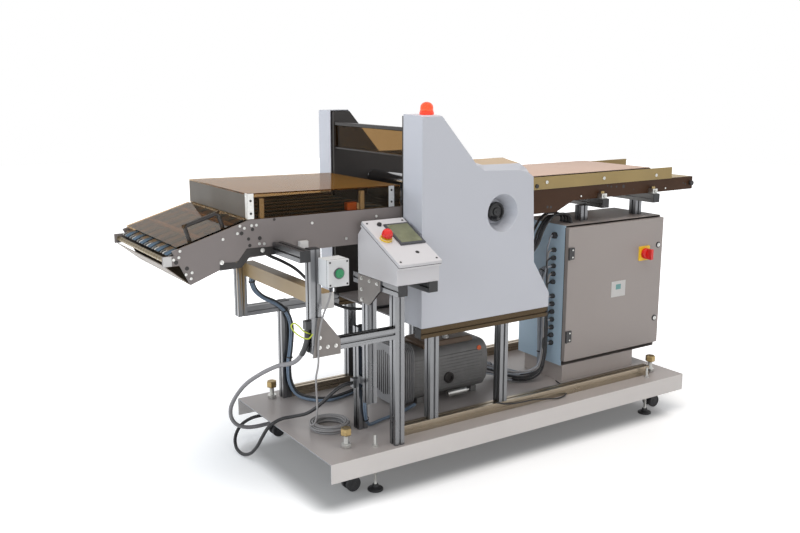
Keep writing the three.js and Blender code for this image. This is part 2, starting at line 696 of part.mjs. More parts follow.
const bed = { drop: 12, sheet: 4, rib: 5, back: 10, tip: 8, tipDrop: 2, ribShares: [0.02, 0.46, 0.93] };
function deliveryBed() {
  const right = deliveryEnd - bed.back;
  const tip = [noseX - bed.tip, noseZ - nose.half - bed.tipDrop];
  const low = [[right, deliveryUnder], [flatStart, deliveryUnder], lowBend, lowEnd, tip];
  const bedEnd = slopeEnd + bed.drop;
  const top = [
    [right, deliveryTop - bed.drop], [bend, deliveryTop - bed.drop],
    [bedEnd, slopeLow - bed.drop + (bed.drop * delivery.slopeFall) / delivery.slopeRun],
  ];
  const sheet = (line, rise) => [...line, ...line.map(([x, z]) => [x, z + rise]).reverse()];
  const at = (line, x) => {
    const i = line.findIndex(([px]) => px <= x);
    const [[ax, az], [bx, bz]] = [line[Math.max(i - 1, 0)], line[Math.max(i, 1)]];
    return az + ((bz - az) * (x - ax)) / (bx - ax);
  };
  const ribs = bed.ribShares.map((share) => {
    const x = right + (lowEnd[0] - right) * share;
    const outline = [
      [x, at(low, x) + over], [x + bed.rib, at(low, x + bed.rib) + over],
      [x + bed.rib, at(top, x + bed.rib) - over], [x, at(top, x) - over],
    ];
    return prism("y", outline, panStart, panEnd);
  });
  const pan = prism("y", sheet(low, bed.sheet), panStart, panEnd);
  return join(pan, prism("y", sheet(top, -bed.sheet), panStart, panEnd), ...ribs);
}
add("delivery_bed", deliveryBed(), finish.platePaint);

function noseRoller() {
  const start = nearInner + over;
  const end = deliveryFar - over;
  const profile = [
    [0, start], [nose.journal, start], [nose.journal, panStart + gap], [nose.radius, panStart + gap],
    [nose.radius, panEnd - gap], [nose.journal, panEnd - gap], [nose.journal, end], [0, end],
  ];
  return turned(profile, [noseX, 0, noseZ], new THREE.Vector3(0, 1, 0), 16);
}
add("nose_roller", noseRoller(), finish.bronze);

const hood = { rise: 91, endRise: 81, wall: 5, left: 6, end: 3 };
function deliveryHood() {
  const low = deliveryTop + gap;
  const left = bend - hood.left;
  const right = deliveryEnd - hood.end;
  const w = hood.wall;
  const leftTop = deliveryTop + hood.rise;
  const rightTop = deliveryTop + hood.endRise;
  const outside = [[left, low], [left, leftTop], [right, rightTop], [right, low]];
  const inside = [
    [left + w, low - over], [left + w, leftTop - w], [right + over, rightTop - w], [right + over, low - over],
  ];
  return cut(prism("y", outside, nearInner, deliveryFar), prism("y", inside, nearInner + w, deliveryFar - w));
}
add("delivery_hood", deliveryHood(), finish.smoked);

const slopeLid = { start: 14, length: 256, thick: 6, lift: 1 };
const handle = { near: 22, start: 92, length: 124, rise: 58, radius: 7 };
const fall = Math.atan2(delivery.slopeFall, delivery.slopeRun);
const onTail = (s, n) => [
  bend - s * Math.cos(fall) - n * Math.sin(fall),
  deliveryTop - s * Math.sin(fall) + n * Math.cos(fall),
];
function deliveryLid() {
  const { start: s0, thick, lift } = slopeLid;
  const s1 = s0 + slopeLid.length;
  const outline = [onTail(s0, lift), onTail(s1, lift), onTail(s1, lift + thick), onTail(s0, lift + thick)];
  const y = nearInner + handle.near;
  const at = (s, n) => {
    const [x, z] = onTail(s, n);
    return [x, y, z];
  };
  const r = handle.radius;
  const ends = [handle.start, handle.start + handle.length];
  const legs = ends.map((s) => rod(at(s, lift + over), at(s, handle.rise), r, 10));
  const grip = rod(at(ends[0] - r, handle.rise), at(ends[1] + r, handle.rise), r, 10);
  return join(prism("y", outline, nearInner, deliveryFar), ...legs, grip);
}
add("delivery_lid", deliveryLid(), finish.smoked);

// Delivery stand at the back: a post on the tray, a beam, an upright under the pan and the cable duct
function deliveryStand() {
  const y = backRail;
  const beam = trayTop + stand.beam;
  const ductZ = trayTop + stand.ductUnder;
  return join(
    slotted("z", stand.post, y, trayTop, beam + over),
    slotted("x", y, beam, stand.left - over, portal.start),
    slotted("z", stand.left - bar.size, y, beam, deliveryUnder),
    block(
      stand.left - seat, stand.left + stand.ductWidth, stand.ductFront, y + bar.size / 2,
      ductZ, ductZ + stand.ductRise,
    ),
  );
}
add("delivery_stand", deliveryStand(), finish.aluminium);

// Feed table: side plates with guide rails, belt, end roller and the stand on the cabinet
const feedRail = { start: 1080, length: 878, rise: 52, thick: 4, farLength: 1028 };
const feedNose = { bellyEnd: 1240, bellyRise: 42, slopeEnd: 1335, endRise: 2, top: 61 };
const feedNear = nearInner;
const feedFar = nearInner + feed.width;
const rollerX = feed.end - feed.roller;
const rollerZ = feedUnder + feedNose.top / 2;
const endRoller = { journal: 6, play: 0.4 };
const belt = { start: 1000, end: 1830, rise: 119, above: 8, radius: 22, wall: 3, arcCount: 8 };
const table = { start: 1836, sheet: 4, tie: 10, tieRise: 9, tiePlaces: [1150, 1990] };

function feedPlate(low, railLow, railHigh, length) {
  const belly = feedUnder - feedNose.bellyRise;
  const top = feedUnder + feedNose.top;
  const wing = feedUnder + belt.rise - belt.above;
  const outline = [
    [feed.start, wing], [belt.end, wing], [belt.end, top], [feed.end, top],
    [feed.end, feedUnder + feedNose.endRise], [feedNose.slopeEnd, feedUnder], [feedNose.bellyEnd, belly],
    [feed.start, belly],
  ];
  const plateSolid = prism("y", outline, low, low + feed.plate);
  const guide = block(
    feedRail.start, feedRail.start + length, railLow, railHigh, top - over, top + feedRail.rise,
  );
  const bore = rod([rollerX, low - over, rollerZ], [rollerX, low + feed.plate + over, rollerZ],
    endRoller.journal + endRoller.play);
  return cut(join(plateSolid, guide), bore);
}
function feedPlateFar() {
  const low = feedFar - feed.plate;
  const inner = nearInner + feed.plate;
  const sheetTop = feedUnder + feedNose.top;
  const tieZ = feedUnder + table.tieRise;
  const ties = table.tiePlaces.map((x) => rod([x, inner, tieZ], [x, low + over, tieZ], table.tie, 10));
  const sheet = block(table.start, feed.end, inner + gap, low + over, sheetTop - table.sheet, sheetTop);
  return join(feedPlate(low, low + over, feedFar, feedRail.farLength), sheet, ...ties);
}
add(
  "feed_plate_near",
  feedPlate(feedNear, feedNear - feedRail.thick + over, feedNear + over + over, feedRail.length),
  finish.bronze,
);
add("feed_plate_far", feedPlateFar(), finish.bronze);

function racetrack(radius) {
  const z = feedUnder + belt.rise - belt.radius;
  const points = [];
  for (let i = 0; i <= belt.arcCount; i++) {
    const turn = Math.PI / 2 - (i / belt.arcCount) * Math.PI;
    points.push([belt.end - belt.radius + radius * Math.cos(turn), z + radius * Math.sin(turn)]);
  }
  for (let i = 0; i <= belt.arcCount; i++) {
    const turn = -Math.PI / 2 - (i / belt.arcCount) * Math.PI;
    points.push([belt.start + belt.radius + radius * Math.cos(turn), z + radius * Math.sin(turn)]);
  }
  return points;
}
const beltLow = nearInner + feed.plate + gap;
const beltHigh = feedFar - feed.plate - gap;
add(
  "feed_belt",
  cut(
    prism("y", racetrack(belt.radius), beltLow, beltHigh),
    prism("y", racetrack(belt.radius - belt.wall), beltLow - over, beltHigh + over),
  ),
  finish.white,
);
function feedEndRoller() {
  const start = feedNear + over;
  const end = feedFar - over;
  const profile = [
    [0, start], [endRoller.journal, start], [endRoller.journal, beltLow], [feed.roller, beltLow],
    [feed.roller, beltHigh], [endRoller.journal, beltHigh], [endRoller.journal, end], [0, end],
  ];
  return turned(profile, [rollerX, 0, rollerZ], new THREE.Vector3(0, 1, 0), 20);
}
add("feed_end_roller", feedEndRoller(), finish.black);

const feedStand = { left: 1451, right: 1800, leftBar: 1474, y: 290, front: 186 };
function feedTableStand() {
  const barUnder = feedUnder - bar.size;
  const posts = [feedStand.left, feedStand.right].map((x) =>
    slotted("z", x, feedStand.y, cabinetTop, barUnder + over),
  );
  const bars = [feedStand.leftBar, feedStand.right].map((x) =>
    slotted("y", x, barUnder, feedStand.front, feedFar),
  );
  const tie = slotted("x", feedFar - bar.size, barUnder - bar.size + over, feedStand.left,
    feedStand.right + bar.size);
  return join(...posts, ...bars, tie);
}
add("feed_stand", feedTableStand(), finish.aluminium);

// Control cabinet on its plinth, with its door, main switch and locks
const plinth = { start: 10, length: 450, depth: 255, wall: 3 };
const cableGland = { radius: 9, reach: 13, y: 62, pitch: 36, rows: [[1, 585], [5, 520], [7, 311]] };
const cabinetBase = trayTop + cabinet.lift;
const cabinetEnd = cabinet.start + cabinet.width;
const bodyFront = cabinet.front + cabinet.door + gap;
const bodyBack = cabinet.front + cabinet.depth;
function cabinetBody() {
  const x = cabinet.start;
  const w = cabinet.sheet;
  const shell = cut(
    block(x, cabinetEnd, bodyFront, bodyBack, cabinetBase, cabinetTop),
    block(x + w, cabinetEnd - w, bodyFront - over, bodyBack - w, cabinetBase + w, cabinetTop - w),
  );
  const left = x + plinth.start;
  const right = left + plinth.length;
  const t = plinth.wall;
  const base = cut(
    block(left, right, bodyFront, bodyFront + plinth.depth, trayTop, cabinetBase + over),
    block(left + t, right - t, bodyFront + t, bodyFront + plinth.depth - t, trayTop - over, cabinetBase),
  );
  const glands = cableGland.rows.flatMap(([count, top]) =>
    Array.from({ length: count }, (_, i) => {
      const at = [bodyFront + cableGland.y, cabinetBase + top - i * cableGland.pitch];
      return rod([x - cableGland.reach, ...at], [x + over, ...at], cableGland.radius, 8);
    }),
  );
  return join(shell, base, ...glands);
}
add("cabinet", cabinetBody(), finish.greyPaint);

const mainSwitch = {
  x: 475, z: 469, plate: 66, plateThick: 7, radius: 25, rise: 20, grip: 8, gripRise: 46, play: 0.4,
};
const lock = { x: 570, zs: [499, 146], radius: 9, reach: 5, inside: 4, play: 0.4, key: 2 };
const switchX = cabinet.start + mainSwitch.x;
const switchZ = cabinetBase + mainSwitch.z;
function cabinetDoor() {
  const x = cabinet.start;
  const f = cabinet.front;
  const w = cabinet.sheet;
  const low = cabinetBase + cabinet.doorLow;
  const high = cabinetTop - cabinet.doorTop;
  const pan = cut(
    block(x, cabinetEnd, f, f + cabinet.door, low, high),
    block(x + w, cabinetEnd - w, f + w, f + cabinet.door + over, low + w, high - w),
  );
  const half = mainSwitch.plate / 2;
  const switchPlate = block(switchX - half, switchX + half, f - mainSwitch.plateThick, f + over,
    switchZ - half, switchZ + half);
  const shaftHole = rod([switchX, f - mainSwitch.plateThick - over, switchZ], [switchX, f + w + over, switchZ],
    mainSwitch.grip + mainSwitch.play);
  const locks = lock.zs.map((z) =>
    rod([x + lock.x, f - over, cabinetBase + z], [x + lock.x, f + w + over, cabinetBase + z],
      lock.radius + lock.play),
  );
  return cut(join(pan, switchPlate), shaftHole, ...locks);
}
add("cabinet_door", cabinetDoor(), finish.greyPaint);

function switchHandle() {
  const front = cabinet.front - mainSwitch.plateThick - gap;
  const disc = rod([switchX, front - mainSwitch.rise, switchZ], [switchX, front, switchZ],
    mainSwitch.radius, 24);
  const grip = block(
    switchX - mainSwitch.grip, switchX + mainSwitch.grip,
    front - mainSwitch.gripRise, front - mainSwitch.rise + over,
    switchZ - mainSwitch.radius + over, switchZ + mainSwitch.radius - over,
  );
  const shaft = rod([switchX, front - over, switchZ], [switchX, cabinet.front + cabinet.sheet, switchZ],
    mainSwitch.grip);
  return join(disc, grip, shaft);
}
add("main_switch", switchHandle(), finish.red);
lock.zs.forEach((z, i) => {
  const at = [cabinet.start + lock.x, cabinetBase + z];
  const turn = rod([at[0], cabinet.front - lock.reach, at[1]],
    [at[0], cabinet.front + cabinet.sheet + lock.inside, at[1]], lock.radius);
  const slot = block(
    at[0] - lock.key, at[0] + lock.key, cabinet.front - lock.reach - over, cabinet.front - lock.key,
    at[1] - lock.radius + lock.key, at[1] + lock.radius - lock.key,
  );
  add("door_lock_" + (i + 1), cut(turn, slot), finish.steel);
});

// Vacuum pump on the tray between the portals: a fan cap, a motor body with a stepped end, and a top cover
const pump = {
  start: 490, length: 485, front: 315, depth: 235, lift: 12, top: 262, bevel: 30, foot: 30, cap: 82, step: 9,
  dome: 30, domeInset: 24, coverStart: 150, coverLength: 260, coverIn: 42, coverDrop: 34,
};
function vacuumPump() {
  const f = pump.front;
  const b = pump.front + pump.depth;
  const low = trayTop + pump.lift;
  const high = trayTop + pump.top;
  const v = pump.bevel;
  const outline = [
    [f + v / 2, low], [f, low + v], [f, high - v], [f + v, high], [b - v, high], [b, high - v], [b, low + v],
    [b - v / 2, low],
  ];
  const bodyStart = pump.start + pump.cap;
  const bodyEnd = pump.start + pump.length - pump.dome;
  const lowered = outline.map(([y, z]) => [y, z > low + v ? z - pump.coverDrop + pump.step : z]);
  const cap = prism("x", outline, pump.start, bodyStart);
  const body = prism("x", inset(lowered, pump.step), bodyStart - over, bodyEnd);
  const dome = prism("x", inset(lowered, pump.domeInset), bodyEnd - over, pump.start + pump.length);
  const coverLow = high - pump.coverDrop * 2;
  const coverX = pump.start + pump.coverStart;
  const topCover = block(
    coverX, coverX + pump.coverLength, f + pump.coverIn, b - pump.coverIn, coverLow, high - pump.step,
  );
  const feet = [bodyStart + pump.foot, bodyEnd - pump.foot * 2].flatMap((x) =>
    [f + v, b - v - pump.foot].map((y) =>
      block(x, x + pump.foot, y, y + pump.foot, trayTop, low + pump.step + over),
    ),
  );
  return join(cap, body, dome, topCover, ...feet);
}
add("vacuum_pump", vacuumPump(), finish.pump);

// A round tube along a curve, with flat ends
function tube(curve, diameter, sides, steps) {
  const section = new THREE.Shape();
  for (let i = 0; i < sides; i++) {
    const turn = (i / sides) * Math.PI * 2;
    const at = [(diameter / 2) * Math.cos(turn), (diameter / 2) * Math.sin(turn)];
    if (i) section.lineTo(...at);
    else section.moveTo(...at);
  }
  section.closePath();
  return solid(new THREE.ExtrudeGeometry(section, { steps, extrudePath: curve, bevelEnabled: false }));
}

const route = (points) => new THREE.CatmullRomCurve3(
  points.map(([x, y, z]) => new THREE.Vector3(x, y, trayTop + z)), false, "centripetal",
);

// The loom is held at both ends: it leaves the cabinet's side, comes down beside it and runs to the pump
const loom = { diameter: 34, sides: 10, steps: 40 };
const loomRoute = [
  [1295.7, 336, 500], [1290, 336, 500], [1276, 336, 495], [1265, 336, 480], [1261, 335, 455], [1261, 335, 420],
  [1262, 334, 370], [1265, 331, 290], [1265, 326, 200], [1261, 318, 110], [1250, 312, 52], [1222, 318, 25],
  [1188, 344, 19], [1168, 392, 19], [1150, 440, 20], [1112, 474, 34], [1060, 482, 62], [1015, 482, 79],
  [990, 482, 82], [975.3, 482, 82],
];
add("cabinet_loom", tube(route(loomRoute), loom.diameter, loom.sides, loom.steps), finish.cable);

// The footprint's middle is taken before the loose cables are added
const footprint = new THREE.Box3().setFromObject(machine).getCenter(new THREE.Vector3());

// Loose cables and hoses: hand-chosen points over the tray's front left corner
const conduit = { diameter: 16, sides: 10, steps: 40 };
const conduitRoute = [
  [-66, 34, 499.7], [-66, 34, 484], [-66, 38, 456], [-70, 62, 410], [-74, 120, 362], [-84, 240, 316],
  [-100, 371, 248], [-114, 480, 176], [-126, 556, 99], [-128, 590, 48], [-120, 602, 6], [-98, 606, -26],
  [-60, 604, -45], [-20, 600, -50], [30, 600, -50], [59.7, 600, -50],
];
add("power_conduit", tube(route(conduitRoute), conduit.diameter, conduit.sides, conduit.steps), finish.cable);

const hose = { diameter: 14, sides: 10, steps: 48 };
const hoseRoute = [
  [231.7, 248, 190], [206, 248, 190], [180, 251, 182], [154, 262, 161], [124, 294, 116], [92, 352, 64],
  [60, 410, 38], [22, 444, 24], [-18, 464, -2], [-38, 492, -52], [-48, 528, -106], [-60, 572, -148],
  [-72, 622, -164], [-76, 672, -154], [-62, 712, -122], [-30, 728, -86], [8, 720, -62], [38, 706, -52],
  [66, 700, -50], [89.7, 700, -50],
];
add("air_hose", tube(route(hoseRoute), hose.diameter, hose.sides, hose.steps), finish.rubber);

// A sensor cable hangs from the start box and ends in a round coil on the tray
const wire = { diameter: 7, sides: 8, steps: 48, loopSides: 6, loopSteps: 24 };
const coil = { x: 167, y: 310, outer: 80, pitch: 9, rise: 8, layers: 4, turns: 2, joint: 135 };
function coilPoints() {
  const outer = coil.outer - wire.diameter / 2;
  const inner = outer - coil.pitch * coil.turns;
  const base = gap + wire.diameter / 2;
  const climb = 0.5;
  const total = coil.layers * coil.turns + (coil.layers - 1) * climb;
  const startTurn = coil.joint / 360 - total;
  const points = [];
  for (let i = 0; i <= total * wire.loopSteps; i++) {
    const turn = i / wire.loopSteps;
    const layer = Math.min(Math.floor(turn / (coil.turns + climb)), coil.layers - 1);
    const within = turn - layer * (coil.turns + climb);
    const wound = Math.min(within / coil.turns, 1);
    const lift = Math.max(within - coil.turns, 0) / climb;
    const inwards = layer % 2 === 0;
    const radius = inwards ? outer + (inner - outer) * wound : inner + (outer - inner) * wound;
    const angle = (startTurn + turn) * Math.PI * 2;
    points.push([
      coil.x + radius * Math.cos(angle), coil.y + radius * Math.sin(angle), base + coil.rise * (layer + lift),
    ]);
  }
  return points;
}
const wound = coilPoints();
const beyond = (from, to, distance) => {
  const end = new THREE.Vector3(...to);
  const way = end.clone().sub(new THREE.Vector3(...from)).setZ(0).normalize();
  return way.multiplyScalar(distance).add(end);
};
const coilEnd = beyond(wound[wound.length - 2], wound[wound.length - 1], wire.diameter).toArray();
const coilStart = beyond(wound[1], wound[0], wire.diameter).toArray();
const coilRoute = [coilStart, ...wound, coilEnd];
add(
  "cable_coil",
  tube(route(coilRoute), wire.diameter, wire.loopSides, coilRoute.length - 1),
  finish.cable,
);

const cableStart = beyond(wound[wound.length - 1], coilEnd, gap).toArray();
const cableLead = beyond(wound[wound.length - 1], coilEnd, gap + wire.diameter).toArray();
const cableRoute = [
  [2, -14, 655.7], [2, -14, 632], [-6, -12, 598], [-21, -7, 560], [-31, 0, 515], [-37, 4, 470], [-39, 5, 428],
  [-38, 8, 386], [-31, 30, 350], [-20, 62, 312], [2, 104, 262], [28, 150, 195], [52, 196, 122], [70, 246, 66],
  [82, 294, 36], [93, 334, 26], cableLead, cableStart,
];
add("sensor_cable", tube(route(cableRoute), wire.diameter, wire.sides, wire.steps), finish.cable);

const plug = { length: 34, width: 13, height: 7 };
function cablePlug() {
  const near = beyond(wound[0], coilStart, gap);
  const far = beyond(wound[0], coilStart, gap + plug.length);
  const geometry = new THREE.BoxGeometry(plug.length, plug.width, plug.height);
  geometry.rotateZ(Math.atan2(far.y - near.y, far.x - near.x));
  geometry.translate((near.x + far.x) / 2, (near.y + far.y) / 2, trayTop + near.z);
  return solid(geometry);
}
add("cable_plug", cablePlug(), finish.black);

// The least gap between turns of the coil, measured between its points
function leastGap(points) {
  const apart = wire.loopSteps / 2;
  let least = Infinity;
  points.forEach((a, i) => {
    for (let j = i + apart; j < points.length; j++) {
      least = Math.min(least, Math.hypot(...a.map((v, k) => v - points[j][k])));
    }
  });
  return least - wire.diameter;
}
console.log("least gap in the coil: " + leastGap(wound).toFixed(2) + " mm");

machine.position.set(-footprint.x, -footprint.y, 0);
machine.updateMatrixWorld(true);
export default machine;
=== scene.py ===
import math

import bmesh
import bpy
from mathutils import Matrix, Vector


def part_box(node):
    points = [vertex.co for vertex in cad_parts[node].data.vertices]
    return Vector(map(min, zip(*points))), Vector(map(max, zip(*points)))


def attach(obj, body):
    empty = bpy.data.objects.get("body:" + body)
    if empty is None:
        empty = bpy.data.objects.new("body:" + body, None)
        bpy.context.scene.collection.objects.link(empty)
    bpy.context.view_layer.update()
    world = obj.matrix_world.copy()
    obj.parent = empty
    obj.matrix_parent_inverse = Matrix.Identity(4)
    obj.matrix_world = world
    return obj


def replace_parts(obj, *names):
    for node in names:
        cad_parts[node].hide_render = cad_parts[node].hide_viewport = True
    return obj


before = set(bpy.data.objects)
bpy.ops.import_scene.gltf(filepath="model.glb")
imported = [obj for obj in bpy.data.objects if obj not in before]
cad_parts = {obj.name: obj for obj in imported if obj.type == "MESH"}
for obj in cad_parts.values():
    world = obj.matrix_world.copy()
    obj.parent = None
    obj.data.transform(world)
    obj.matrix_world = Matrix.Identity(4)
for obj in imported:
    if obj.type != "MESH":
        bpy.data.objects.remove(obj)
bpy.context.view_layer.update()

# Photographer's place: a full-frame camera on a stand at eye height, in front of the machine's
# left end and turned towards its feed side. Every place below is in millimetres, measured
# from the tray's front left corner and up from the factory floor.
tray_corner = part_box("base_tray")[0]


def spot(x, y, z):
    return Vector((tray_corner.x + x / 1000, tray_corner.y + y / 1000, z / 1000))


photo_camera = bpy.data.cameras.new("photo_camera")
photo_camera.sensor_width = 36
photo_camera.lens = 40.8
photo_camera.clip_end = 60
camera_stand = bpy.data.objects.new("photo_camera", photo_camera)
bpy.context.scene.collection.objects.link(camera_stand)
camera_stand.location = spot(-1433.9, -2635.8, 1510.5)
camera_stand.rotation_euler = (math.radians(90 - 11.72), 0, math.radians(-33.2))
bpy.context.scene.camera = camera_stand
bpy.context.scene.view_settings.view_transform = "Standard"

# Studio: a white paper floor that keeps the machine's soft shadow and is painted darker round it as a
# further shadow, white all round for the camera and for what shines or is clear, a warm lamp overhead
# and cool windows to the left and behind.


def colour(red, green, blue):
    """Linear paint colour from the three numbers on a shade card."""
    def linear(v):
        v /= 255
        return v / 12.92 if v < 0.04045 else ((v + 0.055) / 1.055) ** 2.4
    return (linear(red), linear(green), linear(blue), 1)


def fill(tree, target, inputs):
    """Gives a node's inputs plain values or other nodes' outputs."""
    for socket, value in dict(inputs).items():
        if isinstance(value, bpy.types.NodeSocket):
            tree.links.new(value, target.inputs[socket])
        else:
            target.inputs[socket].default_value = value
    return target


def node(tree, kind, inputs=(), **settings):
    new = tree.nodes.new("ShaderNode" + kind)
    for name, value in settings.items():
        setattr(new, name, value)
    return fill(tree, new, inputs)


def blank(name):
    """A new material with its node tree and its surface node."""
    surface = bpy.data.materials.new(name)
    surface.use_nodes = True
    return surface, surface.node_tree, surface.node_tree.nodes["Principled BSDF"]


def adjust(surface, inputs):
    fill(surface.node_tree, surface.node_tree.nodes["Principled BSDF"], inputs)


def seen_rays(tree):
    """A mask that is 1 for the camera, for reflections and through clear sheet."""
    rays = node(tree, "LightPath").outputs
    mask = rays["Is Camera Ray"]
    for other in ("Is Glossy Ray", "Is Transmission Ray"):
        mask = node(tree, "Math", {0: mask, 1: rays[other]}, operation="MAXIMUM").outputs[0]
    return mask


world = bpy.data.worlds.new("white_studio")
bpy.context.scene.world = world
world.use_nodes = True
sky = world.node_tree
sky.nodes.clear()
room_light = node(sky, "Background", {"Color": (0.92, 0.96, 1, 1), "Strength": 0.42})
white_paper = node(sky, "Background", {"Color": (1, 1, 1, 1)})
either = node(sky, "MixShader", {0: seen_rays(sky), 1: room_light.outputs[0], 2: white_paper.outputs[0]})
node(sky, "OutputWorld", {0: either.outputs[0]})


def soft_lamp(name, place, aim, size, power, tint):
    lamp = bpy.data.lights.new(name, "AREA")
    lamp.shape = "RECTANGLE"
    lamp.size, lamp.size_y = size
    lamp.energy = power
    lamp.color = tint
    stand = bpy.data.objects.new(name, lamp)
    bpy.context.scene.collection.objects.link(stand)
    stand.location = place
    stand.rotation_euler = (aim - place).to_track_quat("-Z", "Y").to_euler()
    stand.visible_glossy = False


soft_lamp("overhead_lamp", spot(500, -300, 4200), spot(900, 400, 900), (3.4, 2.6), 100, (1, 0.94, 0.88))
soft_lamp("window_left", spot(-3400, -600, 1900), spot(700, 300, 700), (2.6, 2.4), 76, (0.86, 0.93, 1))
soft_lamp("window_back", spot(-1500, 2900, 1900), spot(1296, 500, 500), (2.4, 2.2), 40, (0.93, 0.96, 1))
soft_lamp("front_fill", spot(700, -4200, 1700), spot(900, 200, 700), (4, 2.4), 40, (1, 0.97, 0.95))

floor_mesh = bpy.data.meshes.new("paper_floor")
sweep = bmesh.new()
quarter_hour = math.pi / 24
sweep.faces.new([sweep.verts.new((14 * math.cos(a * quarter_hour), 14 * math.sin(a * quarter_hour), -0.0008))
                 for a in range(48)])
sweep.to_mesh(floor_mesh)
sweep.free()
paper_floor = bpy.data.objects.new("paper_floor", floor_mesh)
bpy.context.scene.collection.objects.link(paper_floor)
paper, tree, paper_skin = blank("white_paper")
place = node(tree, "TexCoord").outputs["Object"]
# Painted shadow: round the tray's footprint the paper's own colour is darkened to 0.3, rising to 0.95 a little
# way out. Further off the paper glows white for the camera.
beside = place
for step, amount in (("SUBTRACT", (0.06, -0.05, 0)), ("ABSOLUTE", (0, 0, 0)), ("SUBTRACT", (0.84, 0.3, 0)),
                     ("MAXIMUM", (0, 0, 0))):
    beside = node(tree, "VectorMath", {0: beside, 1: amount}, operation=step).outputs[0]
away = node(tree, "VectorMath", {0: beside}, operation="LENGTH").outputs["Value"]
painted_shadow = node(tree, "MapRange", {"Value": away, "From Max": 0.12, "To Min": 0.3, "To Max": 0.95},
              interpolation_type="SMOOTHSTEP")
radius = node(tree, "VectorMath", {0: place}, operation="LENGTH").outputs["Value"]
fade = node(tree, "MapRange",
            {"Value": radius, "From Min": 0.9, "From Max": 2.2, "To Min": 0.12, "To Max": 1})
strength = node(tree, "Math", {0: seen_rays(tree), 1: fade.outputs[0]}, operation="MULTIPLY")
glow = node(tree, "Emission", {"Color": (1, 1, 1, 1), "Strength": strength.outputs[0]})
adjust(paper, {"Base Color": painted_shadow.outputs[0], "Roughness": 0.9, "Specular IOR Level": 0.1})
lit_paper = node(tree, "AddShader", {0: paper_skin.outputs[0], 1: glow.outputs[0]})
fill(tree, tree.nodes["Material Output"], {0: lit_paper.outputs[0]})
floor_mesh.materials.append(paper)

# Loose cables: a grey corrugated power conduit from the start stand and a black air hose from the
# console's back post hang past the tray's left end into glands under it. A thin sensor lead
# hangs from the start box and ends in a coil on the tray.


def smooth_route(points, steps):
    """The even-speed curve through the points that the cable's solid follows, in metres."""
    places = [spot(x, y, z + 173) for x, y, z in points]
    places = [places[0] * 2 - places[1]] + places + [places[-1] * 2 - places[-2]]
    line = []
    for i in range(1, len(places) - 2):
        a, b, c, d = places[i - 1 : i + 3]
        t0 = (b - a).length ** 0.5
        t1 = (c - b).length ** 0.5
        t2 = (d - c).length ** 0.5
        start = ((b - a) / t0 - (c - a) / (t0 + t1) + (c - b) / t1) * t1
        end = ((c - b) / t1 - (d - b) / (t1 + t2) + (d - c) / t2) * t1
        for k in range(steps):
            t = k / steps
            line.append(
                b + start * t + (c * 3 - b * 3 - start * 2 - end) * t * t
                + (b * 2 - c * 2 + start + end) * t * t * t
            )
    line.append(places[-2])
    return line


def cable(name, line, diameter, skin, body="machine"):
    shape = bpy.data.curves.new(name, "CURVE")
    shape.dimensions = "3D"
    spline = shape.splines.new("POLY")
    spline.points.add(len(line) - 1)
    for point, place in zip(spline.points, line):
        point.co = (*place, 1)
    shape.bevel_depth = diameter / 2000
    shape.bevel_resolution = 4
    shape.use_fill_caps = True
    shape.materials.append(skin)
    piece = bpy.data.objects.new(name, shape)
    bpy.context.scene.collection.objects.link(piece)
    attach(piece, body)
    return piece


def finish(name, base, rough, metal, grain, fine, wear=0.05):
    """A coat or bare metal: mottling and its scale, a fine texture and its depth, uneven gloss."""
    surface, tree, _ = blank(name)
    surface.diffuse_color = base
    where = node(tree, "TexCoord").outputs["Object"]

    def mottle(scale, detail=3):
        return node(tree, "TexNoise", {"Vector": where, "Scale": scale, "Detail": detail}).outputs["Fac"]

    def between(value, low, high):
        return node(tree, "MapRange", {"Value": value, "From Min": 0.3, "From Max": 0.7, "To Min": low,
                                       "To Max": high}).outputs[0]

    tone = between(mottle(grain[0]), 1 - grain[1], 1 + grain[1])
    shade = node(tree, "HueSaturation", {"Color": base, "Value": tone})
    bump = node(tree, "Bump", {"Strength": fine[1], "Distance": 0.0004, "Height": mottle(fine[0], 2)})
    adjust(surface, {
        "Metallic": metal, "Base Color": shade.outputs[0], "Normal": bump.outputs[0],
        "Roughness": between(mottle(grain[0] * 0.37), rough - wear, rough + wear)})
    return surface


def paint(name, shade, rough, grain=(14, 0.02), fine=(900, 0.1), wear=0.05):
    return finish(name, colour(*shade), rough, 0, grain, fine, wear)


conduit_skin = paint("conduit_grey", (118, 116, 118), 0.5, fine=(300, 0.1))
hose_skin = paint("hose_black", (34, 34, 36), 0.38, fine=(600, 0.08))
lead_skin = paint("lead_grey", (138, 136, 136), 0.5, fine=(900, 0.1))

conduit_line = smooth_route([
    (-66, 34, 499.7), (-66, 34, 484), (-66, 38, 456), (-70, 62, 410), (-74, 120, 362), (-84, 240, 316),
    (-100, 371, 248), (-114, 480, 176), (-126, 556, 99), (-128, 590, 48), (-120, 602, 6), (-98, 606, -26),
    (-60, 604, -45), (-20, 600, -50), (30, 600, -50), (59.7, 600, -50)], 8)
power_conduit = cable("power_conduit_tube", conduit_line, 16, conduit_skin)
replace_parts(power_conduit, "power_conduit")

hose_line = smooth_route([
    (231.7, 248, 190), (206, 248, 190), (180, 251, 182), (154, 262, 161), (124, 294, 116), (92, 352, 64),
    (60, 410, 38), (22, 444, 24), (-18, 464, -2), (-38, 492, -52), (-48, 528, -106), (-60, 572, -148),
    (-72, 622, -164), (-76, 672, -154), (-62, 712, -122), (-30, 728, -86), (8, 720, -62), (38, 706, -52),
    (66, 700, -50), (89.7, 700, -50)], 8)
air_hose = cable("air_hose_tube", hose_line, 14, hose_skin)
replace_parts(air_hose, "air_hose")


